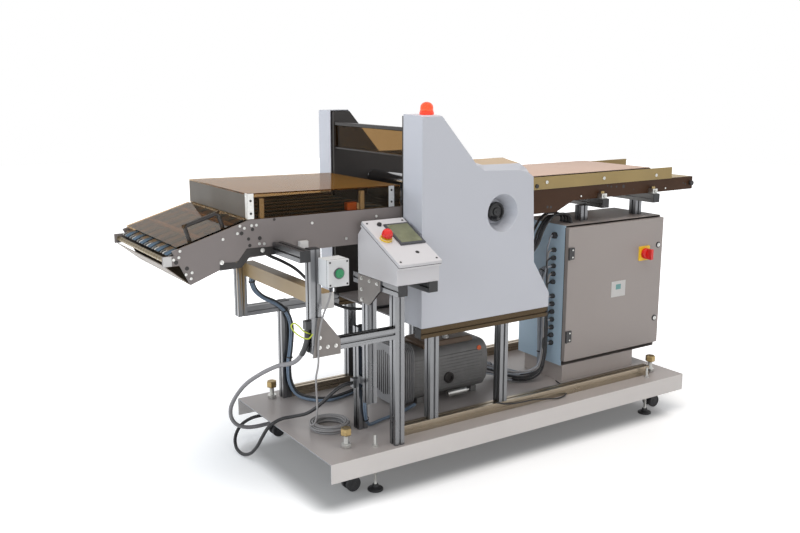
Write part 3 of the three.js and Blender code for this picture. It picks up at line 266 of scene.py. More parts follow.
def coil_places():
    """Two turns in each of four layers, wound inwards and outwards by turns."""
    outer, inner, turns, climb = 76.5, 58.5, 2, 0.5
    total = 4 * turns + 3 * climb
    first = 135 / 360 - total
    places = []
    for i in range(int(total * 24) + 1):
        turn = i / 24
        layer = min(int(turn / (turns + climb)), 3)
        within = turn - layer * (turns + climb)
        wound = min(within / turns, 1)
        lift = max(within - turns, 0) / climb
        radius = outer + (inner - outer) * wound if layer % 2 == 0 else inner + (outer - inner) * wound
        angle = (first + turn) * 2 * math.pi
        height = 3.8 + 8 * (layer + lift)
        places.append((167 + radius * math.cos(angle), 310 + radius * math.sin(angle), height))
    return places


def onward(a, b, distance):
    run = Vector((b[0] - a[0], b[1] - a[1])).normalized() * distance
    return (b[0] + run.x, b[1] + run.y, b[2])


coil_turns = coil_places()
lead_end = onward(coil_turns[-2], coil_turns[-1], 7.3)
lead_line = smooth_route([
    (2, -14, 655.7), (2, -14, 632), (-6, -12, 598), (-21, -7, 560), (-31, 0, 515), (-37, 4, 470),
    (-39, 5, 428), (-38, 8, 386), (-31, 30, 350), (-20, 62, 312), (2, 104, 262), (28, 150, 195),
    (52, 196, 122), (70, 246, 66), (82, 294, 36), (93, 334, 26), lead_end], 6)
lead_line += [spot(x, y, z + 173) for x, y, z in reversed(coil_turns)]
lead_line.append(spot(*onward(coil_turns[1], coil_turns[0], 7)[:2], coil_turns[0][2] + 173))
sensor_lead = cable("sensor_lead", lead_line, 7, lead_skin)
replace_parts(sensor_lead, "sensor_cable", "cable_coil")

# Tray: one folded steel sheet with front and back flanges, powder coated in a warm light grey. Its
# top is painted darker than its flanges as shade under the machine, and its left end darker and
# cooler as shade. The bent edges are eased.


def coat(skin, *nodes):
    for name in nodes:
        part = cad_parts[name]
        part.data.materials.clear()
        part.data.materials.append(skin)


def coat_where(name, skin, test):
    """A second coat for the faces of one piece whose middle, in millimetres, passes the test."""
    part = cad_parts[name]
    part.data.materials.append(skin)
    number = len(part.data.materials) - 1
    for face in part.data.polygons:
        middle = part.matrix_world @ face.center
        if test((middle.x - tray_corner.x) * 1000, (middle.y - tray_corner.y) * 1000, middle.z * 1000):
            face.material_index = number


def ease(part, width, turn=32):
    edge = part.modifiers.new("eased_edges", "BEVEL")
    edge.width = width / 1000
    edge.segments = 2
    edge.limit_method = "ANGLE"
    edge.angle_limit = math.radians(turn)


def eased(width, *nodes):
    for name in nodes:
        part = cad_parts[name]
        weld = part.modifiers.new("weld", "WELD")
        weld.merge_threshold = 0.00001
        ease(part, width)


tray_top = 172.5
coat(paint("tray_paint", (198, 193, 190), 0.36, (3, 0.03), (700, 0.08), wear=0.08), "base_tray")
# Painted shade: the tray's top is coloured darker than its flanges.
top_shade_paint = paint("tray_top", (162, 155, 152), 0.36, (3, 0.04), (700, 0.08), wear=0.08)
coat_where("base_tray", top_shade_paint, lambda x, y, z: z > tray_top)
# Painted shade: the faces at the tray's left end are coloured darker and cooler.
end_shade_paint = paint("tray_end_shade", (132, 132, 135), 0.4, (5, 0.04), (700, 0.08))
coat_where("base_tray", end_shade_paint, lambda x, y, z: x < 1)
eased(1.6, "base_tray")

# Levelling feet: a zinc-plated stud with a rolled thread stands in a dark ball-jointed pad, goes
# up through the tray and is held by a hex nut above it and one below.
upward = (0, 0, 1)
box_faces = ((0, 1, 3, 2), (4, 6, 7, 5), (0, 4, 5, 1), (2, 3, 7, 6), (0, 2, 6, 4), (1, 5, 7, 3))


def six_faces(mesh, corners):
    for face in box_faces:
        mesh.faces.new([corners[i] for i in face])


def block(mesh, low, high):
    a, b = spot(*low), spot(*high)
    six_faces(mesh, [mesh.verts.new((x, y, z)) for x in (a.x, b.x) for y in (a.y, b.y) for z in (a.z, b.z)])


def turned(mesh, outline, centre, axis, sides=24):
    """A turned piece: outline holds (radius, distance along the axis) in millimetres, and one that
    comes back to its first point makes a ring."""
    origin = spot(*centre)
    along = Vector(axis).normalized()
    turn = along.to_track_quat("Z", "Y")
    rings = []
    ring_piece = outline[0] == outline[-1]
    for radius, height in outline[:-1] if ring_piece else outline:
        if radius == 0:
            rings.append([mesh.verts.new(origin + along * height / 1000)])
        else:
            rings.append([
                mesh.verts.new(origin + turn @ Vector((
                    radius * math.cos(a * 2 * math.pi / sides),
                    radius * math.sin(a * 2 * math.pi / sides), height)) / 1000)
                for a in range(sides)])
    for low, high in zip(rings, rings[1:] + rings[:1] if ring_piece else rings[1:]):
        for i in range(sides):
            j = (i + 1) % sides
            quad = [low[i % len(low)], low[j % len(low)], high[j % len(high)], high[i % len(high)]]
            mesh.faces.new([v for k, v in enumerate(quad) if v not in quad[:k]])
    for ring in (rings[0], rings[-1]):
        if len(ring) > 1 and not ring_piece:
            mesh.faces.new(ring)


def prism(mesh, outline, axis, start, end):
    """A flat outline in the two other axes, drawn out along the third."""
    def place(u, v, w):
        return spot(*{"x": (w, u, v), "y": (u, w, v), "z": (u, v, w)}[axis])
    near = [mesh.verts.new(place(u, v, start)) for u, v in outline]
    far = [mesh.verts.new(place(u, v, end)) for u, v in outline]
    mesh.faces.new(near)
    mesh.faces.new(far)
    for i in range(len(outline)):
        j = (i + 1) % len(outline)
        mesh.faces.new([near[i], near[j], far[j], far[i]])


def made(name, mesh, skin, slot, body="machine", edge=0, smooth=30, stands_for=None):
    """A finished piece: faces turned outwards, edges eased, coated and set on its body."""
    bmesh.ops.recalc_face_normals(mesh, faces=mesh.faces)
    for line in mesh.edges:
        line.smooth = len(line.link_faces) < 2 or line.calc_face_angle(0) < math.radians(smooth)
    for face in mesh.faces:
        face.smooth = True
    data = bpy.data.meshes.new(name)
    mesh.to_mesh(data)
    mesh.free()
    data.materials.append(skin)
    piece = bpy.data.objects.new(name, data)
    bpy.context.scene.collection.objects.link(piece)
    if edge:
        ease(piece, edge, smooth)
    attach(piece, body)
    if stands_for:
        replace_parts(piece, stands_for)


def lathe(name, skin, slot, outline, places, axis=upward, sides=24, **rest):
    """One piece, or a set of like ones, turned to an outline at each place."""
    mesh = bmesh.new()
    for place in places:
        turned(mesh, outline, place, axis, sides)
    made(name, mesh, skin, slot, **rest)


def blocks(name, skin, slot, corners, **rest):
    """A piece of straight blocks, each given by its lowest and highest corner."""
    mesh = bmesh.new()
    for low, high in corners:
        block(mesh, low, high)
    made(name, mesh, skin, slot, **rest)


def slabs(name, skin, slot, outline, axis, spans, **rest):
    """Plates of one outline, each from the start to the end of its span."""
    mesh = bmesh.new()
    for start, end in spans:
        prism(mesh, outline, axis, start, end)
    made(name, mesh, skin, slot, **rest)


def thread(low, high, radius, pitch=2.5):
    """The outline of a rolled thread between two heights."""
    turns = int((high - low) / pitch)
    step = (high - low) / turns
    return [(radius - (0.9 if k % 2 else 0), low + k * step / 2) for k in range(2 * turns + 1)]


zinc = finish("zinc_plate", (0.62, 0.62, 0.6, 1), 0.32, 1, grain=(90, 0.08), fine=(1500, 0.15))
yellow_zinc = finish("yellow_zinc", (0.34, 0.25, 0.12, 1), 0.34, 1, grain=(120, 0.2), fine=(1500, 0.15))
black_rubber = paint("black_rubber", (30, 30, 32), 0.55, (60, 0.15), (900, 0.25))
for number, (x, y) in enumerate(((220, 60), (1677, 60), (220, 760), (1677, 760)), 1):
    body = f"foot_{number}"
    here = [(x, y, 0)]
    lathe(body + "_pad", black_rubber, "bright_steel",
          [(0, 0), (28.5, 0), (30, 1.5), (30, 6), (28, 8.5), (21, 10), (13, 15), (11.5, 22), (10, 24.5),
           (0, 24.5)],
          here, sides=40, body=body)
    lathe(body + "_stud", zinc, "bright_steel", [(0, 20), (6, 20)] + thread(26, 216, 6)
          + [(5, 218), (0, 218)], here, sides=14, body=body, smooth=50, stands_for=f"levelling_foot_{number}")
    nuts = bmesh.new()
    for low, high in ((173.2, 181.6), (158, 167.6)):
        turned(nuts, [(6.2, low), (10, low), (11, low + 1), (11, high - 1.1), (10, high), (6.2, high)],
               here[0], upward, 6)
    turned(nuts, [(6.2, 172.9), (12.5, 172.9), (12.5, 174.4), (6.2, 174.4)], here[0], upward, 28)
    made(body + "_nuts", nuts, zinc, "bright_steel", body, edge=0.3)

# Twin-wheel casters: black rubber treads on moulded discs under a moulded hood. Each hangs from a
# long zinc-plated bolt through the tray, with a nut on it and a big hex head in yellow zinc.
moulded_black = paint("moulded_black", (38, 38, 40), 0.42, (40, 0.08), (1200, 0.1))
tread_rubber = paint("tread_rubber", (44, 44, 46), 0.62, (80, 0.12), (900, 0.25))
wheel = [(0, 8.8), (24, 8.8), (27.6, 9.2), (29, 11), (29, 23), (27.6, 24.8), (24.2, 25), (23, 23.4),
         (10, 22.6), (9, 24), (4, 24), (0, 23.4)]
for number, (x, y) in enumerate(((125, 110), (1754, 110), (125, 745), (1754, 745)), 1):
    body = f"caster_{number}"
    here = [(x, y, 0)]
    hood = bmesh.new()
    prism(hood, [(x - 20, 36), (x - 20, 66), (x - 15, 72), (x - 7, 74), (x + 7, 74), (x + 15, 72),
                 (x + 20, 66), (x + 27, 50), (x + 28, 30), (x + 24, 22), (x + 8, 21)], "y", y - 6.4, y + 6.4)
    turned(hood, [(0, 62.5), (18, 62.5), (19.5, 64), (19.5, 70), (17, 74), (0, 74)], here[0], upward, 32)
    made(body + "_hood", hood, moulded_black, "bright_steel", body, edge=1.2,
         stands_for=f"caster_housing_{number}")
    lathe(body + "_stem", zinc, "bright_steel",
          [(0, 74), (16, 74), (16, 78), (13, 80), (13, 100), (10, 102)] + thread(104, 222, 10, 3)
          + [(10, 224), (0, 224)], here, sides=20, body=body, smooth=50)
    lathe(body + "_nut", zinc, "bright_steel",
          [(10.2, 173.4), (18.6, 173.4), (20, 175), (20, 187.5), (18.6, 189), (10.2, 189)], here, sides=6,
          body=body, edge=0.4)
    lathe(body + "_head", yellow_zinc, "bright_steel",
          [(0, 223), (20.5, 223), (22, 225), (22, 247), (20, 250), (12, 250), (11, 249), (0, 249)], here,
          sides=6, body=body, edge=0.5)
    wheels = bmesh.new()
    for near in (-1, 1):
        turned(wheels, wheel, (x + 18, y, 31), (0, near, 0), 48)
    turned(wheels, [(0, -9), (4.7, -9), (4.7, 9), (0, 9)], (x + 18, y, 31), (0, 1, 0), 20)
    made(body + "_wheels", wheels, tread_rubber, "wheel_rubber", f"wheels_{number}",
         stands_for=f"caster_wheels_{number}")

# Frame bars: 40 mm extruded aluminium with a slot down each face, satin anodised and sawn to
# length. They are bolted together inside their slots, and open ends wear black caps.


def extrusion_finish(name, base, axis):
    """Anodised metal with the faint lines that the die draws along the bar, and painted shade that
    darkens the insides of its slots.
    """
    surface = finish(name, base, 0.3, 1, grain=(12, 0.05), fine=(400, 0.02), wear=0.05)
    tree = surface.node_tree
    stretch = node(tree, "Mapping", {"Vector": node(tree, "TexCoord").outputs["Object"],
                                     "Scale": [2 if a == axis else 900 for a in "xyz"]})
    lines = node(tree, "TexNoise", {"Vector": stretch.outputs[0], "Scale": 1, "Detail": 2})
    drawn = node(tree, "Bump", {"Strength": 0.16, "Distance": 0.0003, "Height": lines.outputs["Fac"]})
    # Painted shade: where pointiness is low, in the slots' hollows, the colour is darkened to an eighth.
    slot_shade = node(tree, "MapRange", {"Value": node(tree, "NewGeometry").outputs["Pointiness"],
                                    "From Min": 0.4, "From Max": 0.5, "To Min": 0.12, "To Max": 1})
    mottled = tree.nodes["Principled BSDF"].inputs["Base Color"].links[0].from_node.outputs[0]
    slot_shaded_colour = node(tree, "HueSaturation", {"Color": mottled, "Value": slot_shade.outputs[0]})
    adjust(surface, {"Normal": drawn.outputs[0], "Base Color": slot_shaded_colour.outputs[0]})
    return surface


bar_upright = extrusion_finish("bar_upright", (0.2, 0.203, 0.21, 1), "z")
bar_along = extrusion_finish("bar_along", (0.2, 0.2, 0.205, 1), "x")
bar_across = extrusion_finish("bar_across", (0.2, 0.196, 0.19, 1), "y")
upright_bars = ("portal_front", "portal_back", "console_post", "console_back_post", "console_frame",
                "start_stand", "delivery_stand")
rail_bars = ("base_rail_front", "base_rail_back")
# Painted reflection: the base rails are tinted brown for the warm tray and floor they reflect.
coat(extrusion_finish("rail_warm_reflection", (0.4, 0.34, 0.26, 1), "x"), *rail_bars)
coat(bar_upright, *upright_bars)
coat(bar_along, "feed_stand")
beam_under = 541
# Painted shade and reflection: the portal beams under the covers are coloured dark brown.
beam_shade_and_reflection = extrusion_finish("beam_shade_and_reflection", (0.06, 0.043, 0.026, 1), "x")
for portal in ("portal_front", "portal_back"):
    coat_where(portal, beam_shade_and_reflection, lambda x, y, z: z > beam_under)
eased(0.7, *rail_bars, *upright_bars, "feed_stand")
cap_black = paint("cap_black", (28, 28, 30), 0.45, (60, 0.1), (900, 0.15))


def end_cap(mesh, centre, axis):
    """A moulded cap 2 mm thick with cut corners on a bar's sawn end; axis points outwards."""
    h = 19.7
    c = h - 1.6
    outline = [(-c, -h), (c, -h), (h, -c), (h, c), (c, h), (-c, h), (-h, c), (-h, -c)]
    direction = max((0, 1, 2), key=lambda i: abs(axis[i]))
    across, up = [centre[i] for i in range(3) if i != direction]
    start = centre[direction]
    end = start + 2.2 * axis[direction]
    prism(mesh, [(across + u, up + v) for u, v in outline], "xyz"[direction], start, end)


caps = bmesh.new()
for y in (104, 732):
    end_cap(caps, (441, y, 563), (-1, 0, 0))
    end_cap(caps, (1075, y, 563), (1, 0, 0))
    end_cap(caps, (1720, y, 193), (1, 0, 0))
for x, y, z, towards in ((273, -46, 778, -1), (403, -46, 778, -1), (-77, 14, 929, -1), (273, 263, 778, 1),
                         (403, 222, 778, 1)):
    end_cap(caps, (x, y, z), (0, towards, 0))
end_cap(caps, (355, 104, 193), (-1, 0, 0))
end_cap(caps, (-37, 37, 949), (0, 0, 1))
end_cap(caps, (183, 732, 598), (0, 0, 1))
made("frame_end_caps", caps, cap_black, "aluminium_profile", edge=0.5)

# Folding head: two welded sheet-steel covers in pale grey fine-textured powder coat over ground
# side plates, on a painted deck. The near cover has a pressed dish for the handwheel.
cover_paint = paint("cover_paint", (184, 186, 193), 0.5, (4, 0.012), (1400, 0.1), wear=0.04)
coat(cover_paint, "near_cover", "far_cover")
# Painted light: a band on the near cover's rounded shoulder is coloured tan for the warm light on it.
shoulder_warm_light = paint("shoulder_warm_light", (176, 154, 126), 0.5, (8, 0.03), (1400, 0.1))
coat_where("near_cover", shoulder_warm_light, lambda x, y, z: 1150 < z < 1201 and 770 < x < 1000 and y > 112)
eased(2.2, "near_cover", "far_cover")
coat(finish("ground_steel", (0.4, 0.4, 0.41, 1), 0.36, 1, grain=(30, 0.06), fine=(1500, 0.1)),
     "near_side_plate")
# Painted shade: the far side plate and the near plate's inner faces are coloured near black for the shade
# inside the head.
head_inside_shade = paint("head_inside_shade", (44, 41, 40), 0.5, (12, 0.08), (1200, 0.12))
coat(head_inside_shade, "far_side_plate")
plate_outside = 216
coat_where("near_side_plate", head_inside_shade, lambda x, y, z: y > plate_outside)
coat(paint("deck_paint", (120, 116, 116), 0.45, (20, 0.03), (900, 0.15)), "machine_deck")
to_left, to_back = (-1, 0, 0), (0, 1, 0)
far_cover_face, near_cover_end = 866.4, 440
lathe("far_cover_screws", zinc, "bright_steel",
      [(0, 0), (5.5, 0), (5.5, 1), (4, 2.6), (1.6, 2.8), (1.4, 1.4), (0, 1.4)],
      [(x, far_cover_face, z) for x, z in (
          (462, 640), (462, 980), (462, 1330), (1040, 612), (760, 1140), (950, 1128))], to_back, 16)
lathe("near_cover_studs", zinc, "bright_steel", [(0, 0), (2.6, 0), (2.4, 1), (0, 1.4)],
      [(near_cover_end, y, 752) for y in (120, 131)], to_left, 12)

# Fold rollers: the upper one ground and hard chromed, the lower one faced with ground rubber, each
# with a groove near both ends. They turn on journals in the side plates.
fold_roller = [
    (0, 206.4), (12, 206.4), (12, 223.7), (28, 223.7), (30, 225), (30, 228), (29.4, 229), (29.4, 231),
    (30, 232), (30, 739), (29.4, 740), (29.4, 742), (30, 743), (30, 746.5), (28, 748.2), (12, 748.2),
    (12, 765.6), (0, 765.6)]
chrome = finish("hard_chrome", (0.34, 0.34, 0.35, 1), 0.16, 1, grain=(30, 0.03), fine=(1200, 0.05))
roller_rubber = paint("roller_rubber", (70, 72, 76), 0.55, (60, 0.05), (1500, 0.2))
for level, height, face, slot in (("upper", 1093.6, chrome, "bright_steel"),
                                  ("lower", 1032.4, roller_rubber, "roller_rubber")):
    lathe(f"fold_roller_{level}_barrel", face, slot, fold_roller, [(640, 0, height)], to_back, 56,
          body=f"{level}_roller", stands_for=f"fold_roller_{level}")

# Handwheel: a black moulded disc with a hollow rim and a crank grip, on a shaft that runs into the
# head. A small hexagon nut holds it.
wheel_black = paint("wheel_black", (26, 26, 28), 0.38, (50, 0.1), (900, 0.12))
wheel_x, wheel_z = 823, 996
disc = bmesh.new()
turned(disc, [(0, 117), (14, 117), (15.5, 118.4), (17, 122), (29, 123), (31, 117.5), (34, 116), (37.4, 117.6),
              (39, 121.5), (39, 128.5), (37.4, 132.4), (34, 134), (16, 134), (9, 140), (9, 222), (0, 222)],
       (wheel_x, 0, wheel_z), to_back, 56)
grip_turn, grip_reach = 3.8, 32
turned(disc, [(0, 74.4), (4.5, 74.6), (7, 76.5), (7.9, 80), (7.6, 92), (6.4, 104), (5.4, 110), (6.4, 112),
              (6.4, 118), (0, 118)],
       (wheel_x + grip_reach * math.cos(grip_turn), 0, wheel_z + grip_reach * math.sin(grip_turn)), to_back)
made("handwheel_disc", disc, wheel_black, "black_plastic", "drive_wheel", stands_for="handwheel")
lathe("handwheel_nut", wheel_black, "bright_steel",
      [(0, 114.6), (4, 114.6), (5.2, 115.4), (5.2, 117.4), (0, 117.4)], [(wheel_x, 0, wheel_z)], to_back, 6,
      body="drive_wheel")

# Signal lamp: a ribbed red-orange plastic dome, lit and brightest at its foot, on a base ring that is
# screwed to the near cover's top and painted red with a faint glow, as the lamp's light on it.
lamp_place = [(500, 140, 0)]
base_ring_glow = paint("base_ring_glow", (206, 44, 18), 0.3, (60, 0.1), (900, 0.1))
# Painted light: the base ring glows faintly red.
adjust(base_ring_glow, {"Emission Color": (1, 0.06, 0.02, 1), "Emission Strength": 0.6})
lathe("signal_lamp_base", base_ring_glow, "black_plastic",
      [(0, 1381), (27, 1381), (27, 1389), (25.4, 1390.4), (25.4, 1394.6), (0, 1394.6)], lamp_place, sides=40)
lit_dome, tree, _ = blank("lit_dome")
where = node(tree, "TexCoord").outputs["Object"]
ribs = node(tree, "TexWave", {"Vector": where, "Scale": 60}, bands_direction="Z").outputs["Fac"]
dimmer = node(tree, "MapRange", {"Value": node(tree, "SeparateXYZ", {0: where}).outputs["Z"],
                                 "From Min": 1.392, "From Max": 1.427, "To Min": 1.1,
                                 "To Max": 0.35}).outputs[0]
ripple = node(tree, "Math", {0: ribs, 1: 0.3, 2: dimmer}, operation="MULTIPLY_ADD").outputs[0]
adjust(lit_dome, {"Roughness": 0.12, "Base Color": colour(255, 60, 20), "Coat Weight": 0.15,
                  "Emission Color": (1, 0.055, 0.012, 1), "Emission Strength": ripple})
step = math.pi / 24
lathe("signal_lamp_dome", lit_dome, "beacon_plastic", [(0, 1394.6), (24, 1394.6), (24.4, 1396), (24.2, 1406)]
      + [(24 * math.cos(a * step), 1407 + 19.8 * math.sin(a * step)) for a in range(1, 12)] + [(0, 1426.8)],
      lamp_place, sides=48, stands_for="beacon")

# Main guard: a smoked polycarbonate flap hung from a rod between the side plates, with one black
# bar along its top edge and a second below it.


def smoked_sheet(name, tint, low, high, ior, clear=1.0):
    """Clear tinted plastic sheet with a little haze and wiping marks."""
    sheet, tree, _ = blank(name)
    where = node(tree, "TexCoord").outputs["Object"]
    streaks = node(tree, "TexNoise", {"Vector": where, "Scale": 7}).outputs["Fac"]

    def spread(least, most):
        return node(tree, "MapRange", {"Value": streaks, "To Min": least, "To Max": most}).outputs[0]

    tone = node(tree, "HueSaturation", {"Color": tint, "Value": spread(0.94, 1.06)}).outputs[0]
    adjust(sheet, {"Transmission Weight": clear, "IOR": ior, "Roughness": spread(low, high),
                   "Base Color": tone})
    return sheet


coat(smoked_sheet("guard_sheet", colour(146, 114, 72), 0.02, 0.1, 1.12), "main_guard")
trim_black = paint("trim_black", (34, 31, 30), 0.4, (60, 0.1), (900, 0.1))
blocks("guard_bars", trim_black, "smoked_plastic", [((450.2, 207.5, 1318), (469.8, 764.5, 1330.8)),
                                                    ((451.4, 207.5, 1220.4), (468.6, 764.5, 1227))],
       body="guard", edge=1)

# Console: a sheet-steel desk box on two arms, its sloped lid shut on a black rubber gasket, with a
# framed touchscreen, a red mushroom switch on a yellow collar and a black reset knob.
lid_slope = math.atan2(113, 239)
lid_out = (0, -math.sin(lid_slope), math.cos(lid_slope))
lid_depth = 22


def on_lid(x, up, off):
    """A place on the console's lid: across it, up its slope and off its face."""
    high = off + lid_depth
    return (249 + x, -46 + up * lid_out[2] + high * lid_out[1], 860 - up * lid_out[1] + high * lid_out[2])


def lid_plates(name, skin, spans, **rest):
    """Flat plates lying on the lid, each from its low to its high end across, up and off."""
    mesh = bmesh.new()
    for across, up, off in spans:
        six_faces(mesh, [mesh.verts.new(spot(*on_lid(x, u, o))) for x in across for u in up for o in off])
    made(name, mesh, skin, "console_paint", **rest)


console_paint = paint("console_paint", (196, 194, 196), 0.46, (5, 0.015), (1300, 0.12))
coat(console_paint, "console_box")
eased(1.8, "console_box")
lid_plates("console_gasket", black_rubber, [
    (across, up, (-14.2, -12.4)) for across, up in (
        ((-0.7, 180.7), (-10.6, 0.6)), ((-0.7, 180.7), (264, 275)), ((-0.7, 9), (0.6, 264)),
        ((171, 180.7), (0.6, 264)))])
frame_grey = paint("screen_frame", (62, 62, 66), 0.42, (40, 0.06), (1200, 0.12))
lid_plates("screen_frame", frame_grey, [((69.4, 177.6), (101.4, 234.6), (0.2, 6.6))], edge=1.6)
display_skin = paint("display_olive", (112, 114, 88), 0.12, (26, 0.16), (1500, 0.02))
lid_plates("screen_display", display_skin, [((78, 169), (112, 226), (6.4, 6.9))])
stop_place = [on_lid(34, 150, 0)]
collar_yellow = paint("collar_yellow", (228, 186, 40), 0.4, (60, 0.05), (1000, 0.1))
lathe("estop_collar", collar_yellow, "console_paint",
      [(9.5, 0.2), (23.4, 0.2), (23.4, 6.6), (21.6, 8.3), (9.5, 8.3), (9.5, 0.2)], stop_place, lid_out, 40)
mushroom_red = paint("mushroom_red", (206, 34, 30), 0.28, (30, 0.04), (900, 0.04))
lathe("estop_mushroom", mushroom_red, "red_plastic",
      [(0, -8), (8.9, -8), (8.9, 14), (18.4, 14), (20.1, 15.4), (20.5, 18), (20.2, 26), (18.6, 31.5),
       (15, 36.6), (9.6, 40.4), (4.6, 41.8), (0, 42)], stop_place, lid_out, 44, body="estop",
       stands_for="estop_button")
lathe("reset_knob", moulded_black, "black_plastic",
      [(0, -4), (8.8, -4), (8.8, 5), (7.6, 8.4), (6, 9), (0, 9)],
      [on_lid(56, 240, 0)], lid_out, 28, body="reset", stands_for="reset_button")
lid_fittings = bmesh.new()
turned(lid_fittings, [(0, 0), (7.6, 0), (7, 1.4), (4.6, 1.4), (4.2, 0.3), (0, 0.3)], on_lid(112, 54, 0.1),
       lid_out, 28)
for x, up in ((13, 8), (167, 8), (13, 256), (167, 256)):
    turned(lid_fittings, [(0, 0), (4.2, 0), (3.8, 1.7), (1.6, 2), (1.4, 0.8), (0, 0.8)], on_lid(x, up, 0),
           lid_out, 16)
made("console_lid_fittings", lid_fittings, trim_black, "console_paint")

# Console bracket: a painted gusset plate of sheet steel, bolted over the left arm's slot with five
# zinc-plated socket screws on washers.
plate_left = 247.2
gusset_screw = [(7, 0), (7, 1), (4.6, 1.1), (4.6, 5), (2.2, 5), (2.2, 2), (0, 2)]
gusset_paint = paint("gusset_paint", (122, 116, 112), 0.42, (20, 0.04), (900, 0.15))
slabs("console_gusset", gusset_paint, "aluminium_profile",
      [(63, 797), (63, 761), (140, 691.5), (220, 690.5), (220, 797)], "x", [(plate_left, 248.1)], edge=0.3)
lathe("console_gusset_screws", zinc, "aluminium_profile", gusset_screw,
      [(plate_left, y, z) for y, z in ((193, 784), (137, 783), (84, 783), (194, 743), (192, 703))], to_left, 14,
      smooth=40)

# Start stand: the upright hangs beside its beam on a painted gusset plate with four screws. A black
# moulded clamp holds the power conduit, whose upper part wears a black sleeve.
to_front = (0, -1, 0)
gusset_front = 11.2
slabs("start_gusset", gusset_paint, "aluminium_profile",
      [(-56, 573), (52, 573), (52, 626), (-16, 713), (-36, 713)], "y", [(gusset_front, 12.1)], edge=0.3)
lathe("start_gusset_screws", zinc, "aluminium_profile", gusset_screw,
      [(x, gusset_front, z) for x, z in ((-29, 642), (-30, 607), (1, 606), (33, 605))], to_front, 14, smooth=40)
blocks("conduit_clamp", moulded_black, "aluminium_profile", [((-75.4, 20.6, 672.9), (-57.4, 47.4, 703.4))],
       edge=1.5)
cable("conduit_sleeve", [p for p in conduit_line if p.z > 0.573][1:], 19.6, hose_skin)

# Start box: a pale grey moulded switch box with a screwed lid and a green push button in a
# ring of dark metal. The sensor lead leaves under it through a tapered black sleeve.
coat(paint("box_plastic", (196, 196, 196), 0.5, (30, 0.02), (1200, 0.15)), "start_box")
eased(2.2, "start_box")
blocks("start_box_seam", trim_black, "box_plastic", [((-28.4, -44.4, 828.6), (52.4, -43.2, 921.4))])
box_front = -54
lathe("start_box_screws", trim_black, "box_plastic",
      [(0, 0), (3.6, 0), (3.4, 0.9), (1.4, 1), (1.2, 0.3), (0, 0.3)],
      [(x, box_front, z) for x in (-20.5, 44.5) for z in (836.5, 913.5)], to_front, 16)
button_place = [(12, box_front, 875)]
dark_ring = finish("dark_ring", (0.09, 0.09, 0.1, 1), 0.3, 0.6, grain=(60, 0.05), fine=(900, 0.05))
lathe("start_button_ring", dark_ring, "box_plastic",
      [(16, 0), (19.5, 0), (19.5, 4.2), (18.2, 5.5), (16, 5.5), (16, 0)], button_place, to_front, 40)
push_green = paint("push_green", (18, 122, 74), 0.3, (30, 0.05), (900, 0.04))
lathe("start_push", push_green, "green_plastic",
      [(0, -4), (15.4, -4), (15.4, 8.4), (14.4, 9.8), (9, 9.9), (0, 9.9)], button_place, to_front, 40,
      body="start", stands_for="start_button")
lathe("sensor_lead_sleeve", black_rubber, "box_plastic",
      [(0, 0.3), (9, 0.3), (9, -5), (6.6, -6.5), (6.2, -10), (5, -13), (4.4, -23), (4, -24), (0, -24)],
      [(2, -14, 828.7)])
coat(paint("plug_black", (36, 36, 38), 0.4, (60, 0.08), (1000, 0.12)), "cable_plug")
eased(1.2, "cable_plug")

# Delivery frame: two painted side plates with tapped holes, cap screws, a pale clamp and a bent
# black strap, a folded pan between them, and pale end brackets, nose roller and stripper comb.


def on_tail(down, off):
    """A place on the delivery's sloped end: down its slope and off its face, as X and height."""
    fall = math.atan2(82, 278)
    return (-181 - down * math.cos(fall) - off * math.sin(fall),
            1035 - down * math.sin(fall) + off * math.cos(fall))


coat(paint("plate_paint", (116, 109, 107), 0.44, (9, 0.03), (1000, 0.14)),
     "delivery_plate_near", "delivery_plate_far")
coat(paint("pan_paint", (92, 80, 66), 0.46, (12, 0.04), (1000, 0.14)), "delivery_bed")
eased(0.9, "delivery_plate_near", "delivery_plate_far", "delivery_bed")
plate_face, strap_face = 223.3, 221.2
# Painted shade: black rings and discs on the plate stand for the shade inside its tapped holes.
hole_shade = bmesh.new()
for x, z, r in ((-446, 915, 6), (-410, 891, 6), (-211, 991, 6), (-170, 1001, 5), (-186, 969, 5),
                (-182, 946, 5), (-144, 968, 6), (-87, 1029, 4)):
    for outline in ([(r, 0), (r + 1.2, 0), (r + 0.9, 0.7), (r, 0.7), (r, 0)],
                    [(0, 0), (r, 0), (r, 0.2), (0, 0.2)]):
        turned(hole_shade, outline, (x, plate_face, z), to_front, 20)
made("delivery_plate_holes", hole_shade, trim_black, "plate_paint")
plate_screws = bmesh.new()
for x, z in ((-432, 952), (-437, 931), (-455, 925), (-415, 871), (-394, 875), (-398, 855), (-217, 1017),
             (-201, 1008), (-227, 992), (-174, 1015), (-156, 1015), (-147, 949), (-128, 947), (-280, 977),
             (60, 1004), (200, 934), (330, 1006), (398, 930)):
    turned(plate_screws, [(0, 0), (5, 0), (5, 3), (4.4, 3.6), (2.6, 3.6), (2.4, 1.6), (0, 1.6)],
           (x, plate_face, z), to_front, 16)
for x, z in ((-288, 898), (-136, 925), (-71, 924)):
    turned(plate_screws, [(8, 0), (8, 1.2), (5.6, 1.3), (5.6, 5), (3, 5.2), (2.6, 2), (0, 2)],
           (x, strap_face, z), to_front, 16)
made("delivery_plate_screws", plate_screws, zinc, "plate_paint", smooth=40)
slabs("delivery_strap", trim_black, "plate_paint",
      [(-295, 870), (-216, 872), (-182, 908), (-62, 904), (-64, 933), (-149, 936), (-194, 936), (-229, 893),
       (-294, 896)], "y", [(strap_face, 223.25)], edge=0.5)
pale_bracket = paint("pale_bracket", (192, 190, 188), 0.4, (30, 0.03), (1000, 0.12))
